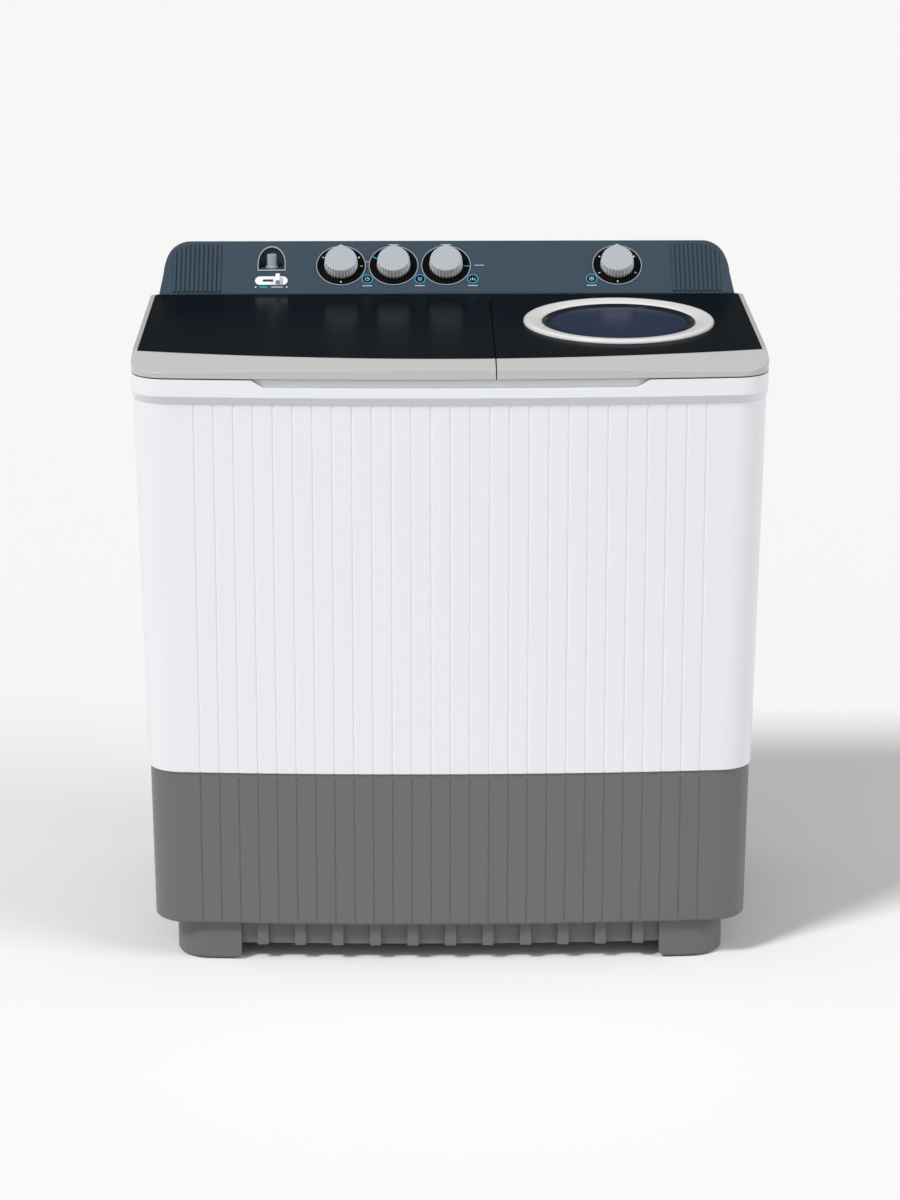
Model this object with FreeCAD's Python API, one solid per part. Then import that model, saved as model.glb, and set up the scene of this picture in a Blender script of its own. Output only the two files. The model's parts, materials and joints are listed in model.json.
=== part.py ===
import FreeCAD, Part
import math
import os

os.makedirs("parts", exist_ok=True)
Vec = FreeCAD.Vector

# Twin tub washer in millimetres: +X to the user's right, +Y to the back, +Z up.
# The origin is on the floor, under the middle of the whole machine.

# ---- heights, stacked from the floor ----
foot_height = 24.5
plinth_height = 36.5
skirt_height = 239.0
cabinet_height = 556.5
cove_height = 13.0
band_height = 25.0
lid_gap = 2.0
lid_front_rise = 24.5       # deck to the front edge of the dark lid panel
lid_rear_rise = 34.0        # deck to the foot of the control panel
panel_rise = 65.5

# ---- plan sizes ----
frame_width = 918.0
machine_depth = 550.0
corner_radius = 52.0
rear_corner_radius = 24.0
bow_radius = 5200.0         # the front bulges gently outwards in plan
lip_overhang_side = 2.0
lip_overhang_front = 8.0
lip_overhang_rear = 17.0
cabinet_draft_side = 10.3
cabinet_draft_front = 8.5
base_step = 2.2             # the base is this much smaller than the cabinet on it
base_draft_side = 3.5
base_draft_front = 4.5
plinth_inset_side = 40.0
plinth_inset_front = 20.0
rib_depth = 8.0

# ---- walls ----
cabinet_wall = 3.0
base_wall = 4.0
deck_thickness = 4.0
tub_wall = 3.0
panel_wall = 3.0

# ---- front grooves, plinth ribs and feet ----
groove_count = 27
groove_pitch = 28.3
groove_width = 4.6
groove_depth = 1.5
base_rim_height = 9.0       # plain strip above the base's grooves
rib_count = 11
rib_pitch = 56.0
rib_width = 16.5
foot_width = 97.0
foot_length = 90.0
foot_slant = 7.0
foot_pad_thickness = 10.0
foot_pad_proud = 2.0
foot_pad_inset = 21.0       # foot's edges to the pad's
foot_pad_shift = 6.0        # pads sit away from the feet's rounded corners
foot_round = 4.0

# ---- finger recess in the top frame ----
recess_width = 570.0
recess_height = 11.5
recess_depth = 9.0
recess_slant = 18.0
recess_round = 8.0

# ---- lids ----
lid_split_x = 65.0
lid_split_gap = 1.5
lid_wall = 3.0
lid_rear_gap = 5.5          # lid's rear edge to the panel foot
lid_side_draw = 5.0         # the lids are this much narrower on each side at the back
glass_thickness = 3.0
glass_setback = 36.0
glass_bow_radius = 1750.0
glass_inset = 7.0
glass_ledge = 14.0
bevel_fall = 0.21           # drop of the lid's front slope per millimetre
hinge_setback = 5.0
hinge_pin_radius = 2.0
knuckle_radius = 4.0
knuckle_width = 12.0
ear_width = 6.0
running_gap = 0.05
side_play = 0.3
wash_hinges = (-400.0, -20.0)
spin_hinges = (112.0, 410.0)

# ---- ring and window of the spin lid ----
ring_radius = 141.8
ring_inner_radius = 113.4
ring_lip = 5.5              # ring's inner edge to its widest throat
ring_flange = 10.0          # ring's upper edge down to the window's seat
ring_height = 5.2
window_thickness = 3.0
window_dome = 7.0

# ---- control panel, placed along its own slope ----
housing_depth = 83.5
ridge_depth = 8.0
panel_half_width = 441.5
panel_lean = 5.5
panel_corner = 40.0
dial_v = 52.0
dial_radius = 37.0
dial_ring_width = 1.4
dial_x = {"wash_timer": -163.0, "wash_mode": -82.0, "drain": -1.0, "spin_timer": 263.0}
knob_skirt_radius = 26.2
knob_top_radius = 24.0
knob_tip = 27.0
knob_height = 18.0
knob_gap = 0.3
knob_flutes = 28
flute_radius = 1.1
shaft_radius = 4.0
timer_size = (54.0, 44.0, 28.0)
switch_size = (34.0, 34.0, 26.0)
inlet_x = -270.0
inlet_width = 40.0
inlet_floor_rise = 30.0     # panel foot to the floor of the inlet recess
inlet_arch_rise = 28.5
inlet_depth = 34.0
spigot_radius = 7.4
spigot_height = 20.0
spigot_collar = 2.0
spigot_tail = 22.0
selector_v = 23.0
selector_length = 50.0
selector_height = 16.0
selector_travel = 20.0
selector_stem = 4.0
lever_width = 7.0
trough_depth = 24.0
spout_rise = 14.0           # deck to the moving spout's floor
channel_height = 12.0
channel_wall = 2.0
nozzle_width = 40.0

# ---- tubs ----
tub_front_margin = 43.0
tub_rear_margin = 33.5      # wash tub's rear wall to the panel foot
tub_side_margin = 31.0
tub_split_margin = 27.0
tub_corner = 60.0
tub_floor_z = 380.0
tub_flange = 9.0
spin_tub_radius = 172.0
spin_y = -8.0
spin_mouth_radius = 152.0
basket_radius = 150.0
basket_wall = 2.0
basket_floor_z = 400.0
basket_height = 450.0
basket_hole_radius = 3.2
balance_width = 22.0
balance_height = 38.0
pulsator_radius = 172.0
pulsator_gap = 6.0
pulsator_cup = 12.0
pulsator_lift = 4.0         # cup's floor to the pulsator's underside
pulsator_boss = 30.0
blade_count = 6
seal_radius = 45.0
hole_rows = 9
hole_columns = 14
drain_margin = 89.0         # machine's left side to the drain's axis
drain_y = 110.0
drain_hole_radius = 20.0
drain_travel = 10.0

# ---- drives ----
wash_shaft_radius = 9.0
wash_pulley_radius = 95.0
motor_pulley_radius = 26.0
pulley_height = 20.0
pulley_z = 296.0
belt_centre_distance = 162.0
belt_thickness = 8.0
motor_radius = 68.0
spin_motor_radius = 72.0
motor_height = 135.0
spin_shaft_radius = 10.0
brake_drum_radius = 70.0
brake_gap = 4.0
brake_pivot = (92.0, -62.0)
brake_arm_length = 120.0
brake_pin_radius = 4.0
rotor_radius = 7.0
bracket_half = 85.0
leg_radius = 8.0
motor_plate_radius = 115.0
mount_radius = 20.0
mount_circle = 90.0
spring_waves = 5
mount_height = 76.0
valve_radius = 28.0
valve_height = 60.0
port_rise = 22.0
port_reach = 45.0
stem_radius = 3.0
pipe_radius = 15.0
pipe_wall = 3.0
pipe_collar = 20.0
pipe_drop = 38.0
pipe_bend = 30.0
outlet_z = 84.0
gland_radius = 11.0
gland_bore = 4.0
gland_margin = 38.0         # back opening's right edge to the cord gland's axis
screw_radius = 2.5
cover_margin_side = 144.0   # base's side to the back opening
cover_edge = 30.0           # base's top and bottom edges to the back opening
cover_margin = 12.0
cover_sheet = 2.5
vent_length = 60.0
vent_height = 5.0
vent_pitch = 15.0
capacitor_size = (70.0, 40.0, 58.0)
capacitor_place = (60.0, 120.0)
filter_width = 100.0
filter_height = 180.0
filter_depth = 14.0
filter_rise = 210.0
overflow_drop = 70.0        # deck to the top of the overflow cover
overflow_reach = 34.0

# ---- places worked out from the sizes above ----
plinth_z = foot_height
skirt_z = plinth_z + plinth_height
base_z = skirt_z + skirt_height
cabinet_z = base_z + cabinet_height
lip_z = cabinet_z + cove_height
deck_z = lip_z + band_height
deck_under_z = deck_z - deck_thickness
frame_half = frame_width / 2
front_y = -machine_depth / 2
rear_y = machine_depth / 2
foot_y = rear_y - housing_depth
foot_z = deck_z + lid_rear_rise
ridge_y = rear_y - ridge_depth
ridge_z = foot_z + panel_rise
panel_angle = math.degrees(math.atan2(panel_rise, ridge_y - foot_y))
panel_length = math.hypot(panel_rise, ridge_y - foot_y)
glass_front_y = front_y + glass_setback
lid_slope = (lid_rear_rise - lid_front_rise) / (foot_y - glass_front_y)
lid_angle = math.degrees(math.atan(lid_slope))
lid_rear_y = foot_y - lid_rear_gap
cabinet_half = frame_half - lip_overhang_side
cabinet_front = front_y + lip_overhang_front
cabinet_rear = rear_y - lip_overhang_rear
base_half = cabinet_half - cabinet_draft_side - base_step
base_front = cabinet_front + cabinet_draft_front + base_step
base_rear = cabinet_rear - base_step
foot_half = base_half - base_draft_side - plinth_inset_side + rib_depth
foot_front = base_front + base_draft_front + plinth_inset_front - rib_depth
wash_left = -frame_half + tub_side_margin
wash_right = lid_split_x - tub_split_margin
wash_front = front_y + tub_front_margin
wash_rear = foot_y - tub_rear_margin
wash_x = (wash_left + wash_right) / 2
wash_y = (wash_front + wash_rear) / 2
spin_x = frame_half - tub_side_margin - tub_wall - spin_tub_radius
floor_z = plinth_z + base_wall
wash_motor_x = wash_x + belt_centre_distance
motor_z = floor_z + mount_height
motor_top = motor_z + motor_height
brake_low = motor_top + 24
base_low_half = base_half - base_draft_side
base_low_front = base_front + base_draft_front
cover_half_width = base_half - cover_margin_side
cover_low = skirt_z + cover_edge
cover_high = base_z - cover_edge
gland_x = cover_half_width - gland_margin
gland_z = (cover_low + cover_high) / 2
hinge_y = lid_rear_y - hinge_setback
hinge_z = (deck_z + lid_front_rise + (hinge_y - glass_front_y) * lid_slope
           - glass_thickness - knuckle_radius - 0.8)
ring_throat = ring_inner_radius + ring_lip
window_radius = ring_inner_radius - 2 * side_play
inlet_floor_z = foot_z + inlet_floor_rise
spigot_y = foot_y + inlet_floor_rise / math.tan(math.radians(panel_angle)) + inlet_depth / 2
inlet_back = spigot_y + inlet_depth / 2
lever_x = inlet_x + selector_travel / 2
slot_length = selector_travel + lever_width
spout_low_z = deck_z + spout_rise
nozzle_places = (wash_x, spin_x)
cup_floor_z = tub_floor_z - pulsator_cup
pulsator_seat_z = cup_floor_z + pulsator_lift + pulsator_boss
drain_x = -frame_half + drain_margin
outlet_end = rear_y - 0.5
valve_low = tub_floor_z - tub_wall - valve_height
valve_top = tub_floor_z - tub_wall


# ---- general shapes ----
def box(x0, x1, y0, y1, z0, z1):
    return Part.makeBox(x1 - x0, y1 - y0, z1 - z0, Vec(x0, y0, z0))


def rod(x, y, z0, z1, radius):
    return Part.makeCylinder(radius, z1 - z0, Vec(x, y, z0))


def rod_along_x(x0, x1, y, z, radius):
    return Part.makeCylinder(radius, x1 - x0, Vec(x0, y, z), Vec(1, 0, 0))


def rod_along_y(y0, y1, x, z, radius):
    return Part.makeCylinder(radius, y1 - y0, Vec(x, y0, z), Vec(0, 1, 0))


def turned(points, x=0.0, y=0.0):
    # solid of revolution about a vertical axis; points are (radius, height)
    corners = [Vec(r, 0, z) for r, z in points]
    face = Part.Face(Part.makePolygon(corners + corners[:1]))
    solid = face.revolve(Vec(0, 0, 0), Vec(0, 0, 1), 360)
    solid.translate(Vec(x, y, 0))
    return solid


def drawn_along_y(points, y0, y1):
    corners = [Vec(x, y0, z) for x, z in points]
    return Part.Face(Part.makePolygon(corners + corners[:1])).extrude(Vec(0, y1 - y0, 0))


def drawn_along_x(points, x0, x1):
    corners = [Vec(x0, y, z) for y, z in points]
    return Part.Face(Part.makePolygon(corners + corners[:1])).extrude(Vec(x1 - x0, 0, 0))


def rounded_block(x0, x1, y0, y1, z0, z1, radius):
    block = box(x0, x1, y0, y1, z0, z1)
    upright = [e for e in block.Edges if abs(e.Vertexes[0].Z - e.Vertexes[1].Z) > 0.5 * (z1 - z0)]
    return block.makeFillet(radius, upright)


def joined(shapes):
    return shapes[0].multiFuse(shapes[1:]).removeSplitter()


def spread(count, pitch):
    # evenly spaced places either side of zero
    return [(index - (count - 1) / 2) * pitch for index in range(count)]


def export(name, shape):
    shape.exportStep("parts/" + name + ".step")


# ---- plan outline shared by base, cabinet, frame and lids ----
def plan_wire(z, half, front, rear, corner=corner_radius, rear_corner=rear_corner_radius, draw=0.0):
    swing = math.asin((half - corner) / (bow_radius - corner))
    bow_x = bow_radius * math.sin(swing)
    bow_y = front + bow_radius * (1 - math.cos(swing))
    centre_x = half - corner
    centre_y = bow_y + corner * math.cos(swing)
    turn = (swing - math.pi / 2) / 2
    diagonal = rear_corner * (1 - math.sqrt(0.5))
    rear_half = half - draw
    right = [
        (bow_x, bow_y),
        (centre_x + corner * math.cos(turn), centre_y + corner * math.sin(turn)),
        (half, centre_y),
        (rear_half, rear - rear_corner),
        (rear_half - diagonal, rear - diagonal),
        (rear_half - rear_corner, rear),
    ]
    r = [Vec(x, y, z) for x, y in right]
    m = [Vec(-x, y, z) for x, y in right]
    return Part.Wire([
        Part.Arc(m[0], Vec(0, front, z), r[0]).toShape(),
        Part.Arc(r[0], r[1], r[2]).toShape(),
        Part.LineSegment(r[2], r[3]).toShape(),
        Part.Arc(r[3], r[4], r[5]).toShape(),
        Part.LineSegment(r[5], m[5]).toShape(),
        Part.Arc(m[5], m[4], m[3]).toShape(),
        Part.LineSegment(m[3], m[2]).toShape(),
        Part.Arc(m[2], m[1], m[0]).toShape(),
    ])


def plan_prism(z0, z1, half, front, rear, corner=corner_radius, rear_corner=rear_corner_radius, draw=0.0):
    wire = plan_wire(z0, half, front, rear, corner, rear_corner, draw)
    return Part.Face(wire).extrude(Vec(0, 0, z1 - z0))


def bowed_y(x, front):
    return front + bow_radius - math.sqrt(bow_radius ** 2 - x ** 2)


def tapered_shell(z0, z1, half0, half1, front0, front1, rear, inset=0.0, reach=0.0):
    # solid between two outlines; the sizes run on in a straight line past both ends by reach
    def at(z, low, high):
        return low + (high - low) * (z - z0) / (z1 - z0)
    wires = []
    for z in (z0 - reach, z1 + reach):
        half = at(z, half0, half1) - inset
        front = at(z, front0, front1) + inset
        wires.append(plan_wire(z, half, front, rear - inset,
                               corner_radius - inset, rear_corner_radius - inset))
    return Part.makeLoft(wires, True, True)


def groove_cutters(z0, z1, front0, front1):
    def notch(x, z, front):
        y = bowed_y(x, front)
        points = [(x - groove_width / 2, y - 2), (x + groove_width / 2, y - 2),
                  (x + groove_width / 2, y), (x, y + groove_depth), (x - groove_width / 2, y)]
        corners = [Vec(px, py, z) for px, py in points]
        return Part.makePolygon(corners + corners[:1])
    return [Part.makeLoft([notch(x, z0, front0), notch(x, z1, front1)], True, True)
            for x in spread(groove_count, groove_pitch)]


# ---- base, feet, cabinet and back cover ----
def foot_blocks(inset, z0, z1):
    blocks = []
    inner = foot_half - foot_width + inset
    depth = foot_length - inset
    for side in (-1, 1):
        for y_edge in (-1, 1):
            wedge = drawn_along_y([(side * (inner + foot_slant), z0), (side * (foot_half + 5), z0),
                                   (side * (foot_half + 5), z1), (side * inner, z1),
                                   (side * inner, z0 + foot_slant)],
                                  y_edge * (-foot_front - depth), y_edge * (-foot_front + 5))
            blocks.append(wedge.common(plan_prism(z0, z1, foot_half - inset, foot_front + inset,
                                                  -foot_front - inset, corner_radius - inset,
                                                  rear_corner_radius - inset)))
    return blocks


def pad_blocks(gap):
    half_x = foot_width / 2 - foot_pad_inset + gap
    half_y = foot_length / 2 - foot_pad_inset + gap
    x = foot_half - foot_width / 2 - foot_pad_shift
    y = -foot_front - foot_length / 2 - foot_pad_shift
    return [rounded_block(side * x - half_x, side * x + half_x, edge * y - half_y, edge * y + half_y,
                          0 if gap == 0 else -1, foot_pad_thickness, 8)
            for side in (-1, 1) for edge in (-1, 1)]


def make_base():
    skirt = tapered_shell(skirt_z, base_z, base_low_half, base_half, base_low_front, base_front, base_rear)
    low_edges = [e for e in skirt.Edges if max(v.Z for v in e.Vertexes) < skirt_z + 0.1]
    skirt = skirt.makeFillet(base_wall, low_edges)
    plinth = plan_prism(plinth_z, skirt_z + 1, foot_half - rib_depth, foot_front + rib_depth,
                        -foot_front - rib_depth)
    feet = []
    for foot in foot_blocks(0, foot_pad_proud, skirt_z + 1):
        sole = [e for e in foot.Edges if max(v.Z for v in e.Vertexes) < foot_pad_proud + 0.1]
        feet.append(foot.makeFillet(foot_round, sole))
    ribs = [box(x - rib_width / 2, x + rib_width / 2, bowed_y(x, foot_front), foot_front + rib_depth + 20,
                plinth_z, skirt_z + 1) for x in spread(rib_count, rib_pitch)]
    body = joined([skirt, plinth] + feet + ribs)
    room = tapered_shell(skirt_z, base_z, base_low_half, base_half, base_low_front, base_front,
                         base_rear, base_wall, base_wall)
    room = room.common(box(-frame_half, frame_half, front_y, rear_y, skirt_z + base_wall, base_z + 1))
    well = plan_prism(floor_z, skirt_z + base_wall + 1, foot_half - rib_depth - base_wall,
                      foot_front + rib_depth + base_wall, -foot_front - rib_depth - base_wall)
    toe_rooms = foot_blocks(base_wall, floor_z, skirt_z + 1)
    window = box(-cover_half_width, cover_half_width, base_rear - 2 * base_wall, base_rear + 1,
                 cover_low, cover_high)
    outlet = rod_along_y(base_rear - 2 * base_wall, base_rear + 1, drain_x, outlet_z, pipe_radius)
    return body.cut([room, well, window, outlet] + toe_rooms + pad_blocks(side_play)
                    + groove_cutters(skirt_z - 1, base_z - base_rim_height, base_low_front, base_front))


def make_cabinet():
    sizes = (base_z, cabinet_z, cabinet_half - cabinet_draft_side, cabinet_half,
             cabinet_front + cabinet_draft_front, cabinet_front, cabinet_rear)
    shell = tapered_shell(*sizes)
    room = tapered_shell(*sizes, cabinet_wall, 2.0)
    ledge = plan_prism(base_z, base_z + cabinet_wall, sizes[2] - 1, sizes[4] + 1, cabinet_rear - 1)
    ledge = ledge.cut(plan_prism(base_z - 1, base_z + cabinet_wall + 1, base_half - 3 * base_wall,
                                 base_front + 3 * base_wall, base_rear - 3 * base_wall))
    return shell.cut(room).fuse(ledge).cut(groove_cutters(
        base_z - 1, cabinet_z + 1, cabinet_front + cabinet_draft_front, cabinet_front))


def cover_screw_places():
    low = cover_low - cover_margin / 2
    high = cover_high + cover_margin / 2
    return [(x, z) for x in spread(4, 2 * cover_half_width / 3 - 10) for z in (low, high)]


def make_back_cover():
    cover = box(-cover_half_width - cover_margin, cover_half_width + cover_margin, base_rear,
                base_rear + cover_sheet, cover_low - cover_margin, cover_high + cover_margin)
    slots = [box(x - vent_length / 2, x + vent_length / 2, base_rear - 1, base_rear + cover_sheet + 1,
                 gland_z + z, gland_z + z + vent_height)
             for x in spread(4, 1.5 * vent_length) for z in spread(5, vent_pitch)]
    holes = [rod_along_y(base_rear - 1, base_rear + cover_sheet + 1, x, z, screw_radius)
             for x, z in cover_screw_places()]
    holes.append(rod_along_y(base_rear - 1, base_rear + cover_sheet + 1, gland_x, gland_z, gland_radius))
    return cover.cut(slots + holes)


def make_cover_screws():
    face = base_rear + cover_sheet
    screws = [rod_along_y(base_rear, face, x, z, screw_radius).fuse(
        rod_along_y(face, face + 2.4, x, z, 2 * screw_radius)) for x, z in cover_screw_places()]
    return Part.makeCompound(screws)


# ---- top frame: band, deck, finger recess, tub mouths and hinge ears ----
def wash_mouth(z0, z1, grow=0.0):
    return rounded_block(wash_left - grow, wash_right + grow, wash_front - grow, wash_rear + grow,
                         z0, z1, tub_corner + grow)


def ear_places(x):
    reach = knuckle_width / 2 + ear_width
    return [(x - reach, x - knuckle_width / 2), (x + knuckle_width / 2, x + reach)]


def inner_plan(inset):
    return plan_prism(lip_z - 1, deck_z + 2, frame_half - inset, front_y + inset, rear_y - inset)


def make_top_frame():
    band = plan_prism(lip_z, deck_z, frame_half, front_y, rear_y)
    cove = Part.makeLoft([plan_wire(cabinet_z, cabinet_half, cabinet_front, cabinet_rear),
                          plan_wire(lip_z, frame_half, front_y, rear_y)], True, True)
    inner_half = cabinet_half - cabinet_wall
    inner_front = cabinet_front + cabinet_wall
    inner_rear = cabinet_rear - cabinet_wall
    room = plan_prism(cabinet_z - 1, deck_under_z, inner_half, inner_front, inner_rear)
    plug = plan_prism(cabinet_z - 16, cabinet_z + 4, inner_half - side_play, inner_front + side_play,
                      inner_rear - side_play)
    plug = plug.cut(plan_prism(cabinet_z - 17, cabinet_z + 5, inner_half - side_play - cabinet_wall,
                               inner_front + side_play + cabinet_wall,
                               inner_rear - side_play - cabinet_wall))
    tie = plan_prism(cabinet_z, cabinet_z + 4, inner_half + 1, inner_front - 1, inner_rear + 1)
    tie = tie.cut(plan_prism(cabinet_z - 1, cabinet_z + 5, inner_half - cabinet_wall,
                             inner_front + cabinet_wall, inner_rear - cabinet_wall))
    pocket = band.common(box(-recess_width / 2 - 6, recess_width / 2 + 6, front_y - 1, front_y + 60,
                             deck_z - recess_height - cabinet_wall, deck_under_z))
    pocket = pocket.cut(inner_plan(recess_depth + cabinet_wall))
    frame = joined([band, cove]).cut(room)
    frame = joined([frame, plug, tie, pocket])
    recess = drawn_along_y([(-recess_width / 2, deck_z + 1), (-recess_width / 2, deck_z),
                            (recess_slant - recess_width / 2, deck_z - recess_height),
                            (recess_width / 2 - recess_slant, deck_z - recess_height),
                            (recess_width / 2, deck_z), (recess_width / 2, deck_z + 1)],
                           front_y - 1, front_y + 60)
    toes = [e for e in recess.Edges if max(v.Z for v in e.Vertexes) < deck_z - recess_height + 0.1
            and e.BoundBox.XLength < 1]
    recess = recess.makeFillet(recess_round, toes).cut(inner_plan(recess_depth))
    frame = frame.cut([recess, wash_mouth(deck_under_z - 1, deck_z + 1),
                       rod(spin_x, spin_y, deck_under_z - 1, deck_z + 1, spin_mouth_radius),
                       rod(inlet_x, spigot_y, deck_under_z - 1, deck_z + 1, 3 * shaft_radius)])
    ears = []
    bores = []
    for x in wash_hinges + spin_hinges:
        for x0, x1 in ear_places(x):
            ears.append(box(x0, x1, hinge_y - knuckle_radius, hinge_y + knuckle_radius, deck_z - 1, hinge_z))
            ears.append(rod_along_x(x0, x1, hinge_y, hinge_z, knuckle_radius))
            bores.append(rod_along_x(x0 - 1, x1 + 1, hinge_y, hinge_z, hinge_pin_radius))
    return joined([frame] + ears).cut(bores)


def make_hinge_pins():
    reach = knuckle_width / 2 + ear_width
    return Part.makeCompound([rod_along_x(x - reach, x + reach, hinge_y, hinge_z, hinge_pin_radius)
                              for x in wash_hinges + spin_hinges])


# ---- lids ----
def lid_span(side):
    edge = lid_split_x + side * lid_split_gap / 2
    return (edge, frame_half + 5) if side > 0 else (-frame_half - 5, edge)


def under_top(drop):
    low = deck_z - 5

    def top(y):
        return deck_z + lid_front_rise + (y - glass_front_y) * lid_slope - drop
    return drawn_along_x([(front_y - 5, low), (rear_y, low), (rear_y, top(rear_y)),
                          (front_y - 5, top(front_y - 5))], -frame_half - 5, frame_half + 5)


def under_bevel(drop):
    edge_z = deck_z + lid_front_rise - drop
    low = deck_z - 5
    high = edge_z + 20
    return Part.makeCone(glass_bow_radius + (edge_z - low) / bevel_fall,
                         glass_bow_radius - (high - edge_z) / bevel_fall, high - low,
                         Vec(0, glass_front_y + glass_bow_radius, low))


def lid_outline(inset, z0, z1, rear):
    return plan_prism(z0, z1, frame_half - inset, front_y + inset, rear, corner_radius - inset / 2,
                      12.0, lid_side_draw)


def lid_block(side, inset, drop, rear, z0):
    x0, x1 = lid_span(side)
    split_in = inset * (1 if side > 0 else -1)
    cell = box(x0 + max(split_in, 0), x1 + min(split_in, 0), front_y - 1, rear_y, deck_z - 3, ridge_z)
    block = lid_outline(inset, z0, ridge_z, rear)
    return block.common(under_top(drop)).common(under_bevel(drop)).common(cell)


def glass_cell(side, inset, z0, z1):
    # plan region of the dark panel, bounded in front by its own tighter bow
    x0, x1 = lid_span(side)
    split_in = (inset - glass_inset) * (1 if side > 0 else -1)
    cell = box(x0 + max(split_in, 0), x1 + min(split_in, 0), front_y, lid_rear_y - lid_split_gap
               - inset + glass_inset, z0, z1)
    bow = rod(0, glass_front_y + glass_bow_radius, z0, z1,
              glass_bow_radius - lid_split_gap - inset + glass_inset)
    return lid_outline(inset, z0, z1, lid_rear_y).common(cell).common(bow)


def glass_slab(side):
    cell = glass_cell(side, glass_inset, deck_z, ridge_z)
    return cell.common(under_top(0)).cut(under_top(glass_thickness))


def lid_frame(side, hinges):
    outer = lid_block(side, 0, 0, lid_rear_y, deck_z + lid_gap)
    crest = [e for e in outer.Edges if min(v.Z for v in e.Vertexes) > deck_z + 6
             and max(v.Y for v in e.Vertexes) < lid_rear_y - 1]
    outer = outer.makeFillet(1.2, crest)
    room = lid_block(side, lid_wall, glass_thickness + lid_wall, lid_rear_y + 1, deck_z)
    view = glass_cell(side, glass_inset + glass_ledge, deck_z, ridge_z)
    frame = outer.cut([room, view, glass_slab(side)])
    notches = []
    webs = []
    bores = []
    for x in hinges:
        half = knuckle_width / 2 - side_play
        webs.append(rod_along_x(x - half, x + half, hinge_y, hinge_z, knuckle_radius))
        webs.append(box(x - half, x + half, hinge_y - knuckle_radius, hinge_y + knuckle_radius,
                        hinge_z, hinge_z + knuckle_radius + 1.6))
        bores.append(rod_along_x(x - half - 1, x + half + 1, hinge_y, hinge_z,
                                 hinge_pin_radius + running_gap))
        for x0, x1 in ear_places(x):
            notches.append(box(x0 - 1, x1 + 1, hinge_y - 9, lid_rear_y + 1, deck_z,
                               hinge_z + knuckle_radius + 0.7))
    webs = [web.common(under_top(glass_thickness)) for web in webs]
    return joined([frame.cut(notches)] + webs).cut(bores)


def on_lid(shape):
    # from a flat layout, z up from the lid's top face, to the sloping spin lid
    z = deck_z + lid_front_rise + (spin_y - glass_front_y) * lid_slope
    shape.Placement = FreeCAD.Placement(Vec(spin_x, spin_y, z), FreeCAD.Rotation(Vec(1, 0, 0), lid_angle))
    return shape


def make_ring():
    return on_lid(turned([(ring_throat, 0), (ring_radius, 0), (ring_radius - 0.6, ring_height * 0.6),
                          (ring_radius - 3, ring_height * 0.92), (ring_throat + 2, ring_height),
                          (ring_inner_radius + 0.8, ring_height * 0.7), (ring_inner_radius, -ring_flange),
                          (ring_inner_radius - 9, -ring_flange), (ring_inner_radius - 9, -ring_flange - 2),
                          (ring_throat - 1, -ring_flange - 2)]))


def make_window():
    low = -ring_flange
    top = low + window_thickness
    sphere = (window_radius ** 2 + window_dome ** 2) / (2 * window_dome)
    outer = Part.makeSphere(sphere, Vec(0, 0, top + window_dome - sphere))
    inner = Part.makeSphere(sphere - window_thickness, Vec(0, 0, top + window_dome - sphere))
    dome = outer.common(rod(0, 0, top, top + window_dome + 1, window_radius))
    rim = rod(0, 0, low, top, window_radius)
    hollow = inner.common(rod(0, 0, low - 1, top + window_dome, window_radius - 6))
    return on_lid(joined([dome, rim]).cut(hollow))


# ---- control panel ----
def on_panel(shape):
    # from a flat layout (x, distance up the slope, height off the face) to the sloping panel
    placed = shape.copy()
    placed.Placement = FreeCAD.Placement(Vec(0, foot_y, foot_z), FreeCAD.Rotation(Vec(1, 0, 0), panel_angle))
    return placed


def housing_block(inset, rear, z0):
    half = panel_half_width - inset
    top_half = half - panel_lean
    top = ridge_z - inset
    r = panel_corner - inset
    bend = r * (1 - math.sqrt(0.5))
    left = Vec(-top_half, 0, top - r)
    wire = Part.Wire([
        Part.LineSegment(Vec(-half, 0, z0), Vec(half, 0, z0)).toShape(),
        Part.LineSegment(Vec(half, 0, z0), Vec(half, 0, foot_z)).toShape(),
        Part.LineSegment(Vec(half, 0, foot_z), Vec(top_half, 0, top - r)).toShape(),
        Part.Arc(Vec(top_half, 0, top - r), Vec(top_half - bend, 0, top - bend),
                 Vec(top_half - r, 0, top)).toShape(),
        Part.LineSegment(Vec(top_half - r, 0, top), Vec(r - top_half, 0, top)).toShape(),
        Part.Arc(Vec(r - top_half, 0, top), Vec(bend - top_half, 0, top - bend), left).toShape(),
        Part.LineSegment(left, Vec(-half, 0, foot_z)).toShape(),
        Part.LineSegment(Vec(-half, 0, foot_z), Vec(-half, 0, z0)).toShape(),
    ])
    block = Part.Face(wire).extrude(Vec(0, rear, 0))
    slope = inset / math.cos(math.radians(panel_angle))
    lift = panel_rise / (ridge_y - foot_y)
    side_cut = drawn_along_x([(foot_y + inset, z0 - 1), (rear + 1, z0 - 1), (rear + 1, ridge_z + 50),
                              (ridge_y + 50 / lift, ridge_z + 50 - slope),
                              (foot_y + inset, foot_z + inset * lift - slope)],
                             -panel_half_width - 5, panel_half_width + 5)
    return block.common(side_cut)


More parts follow.
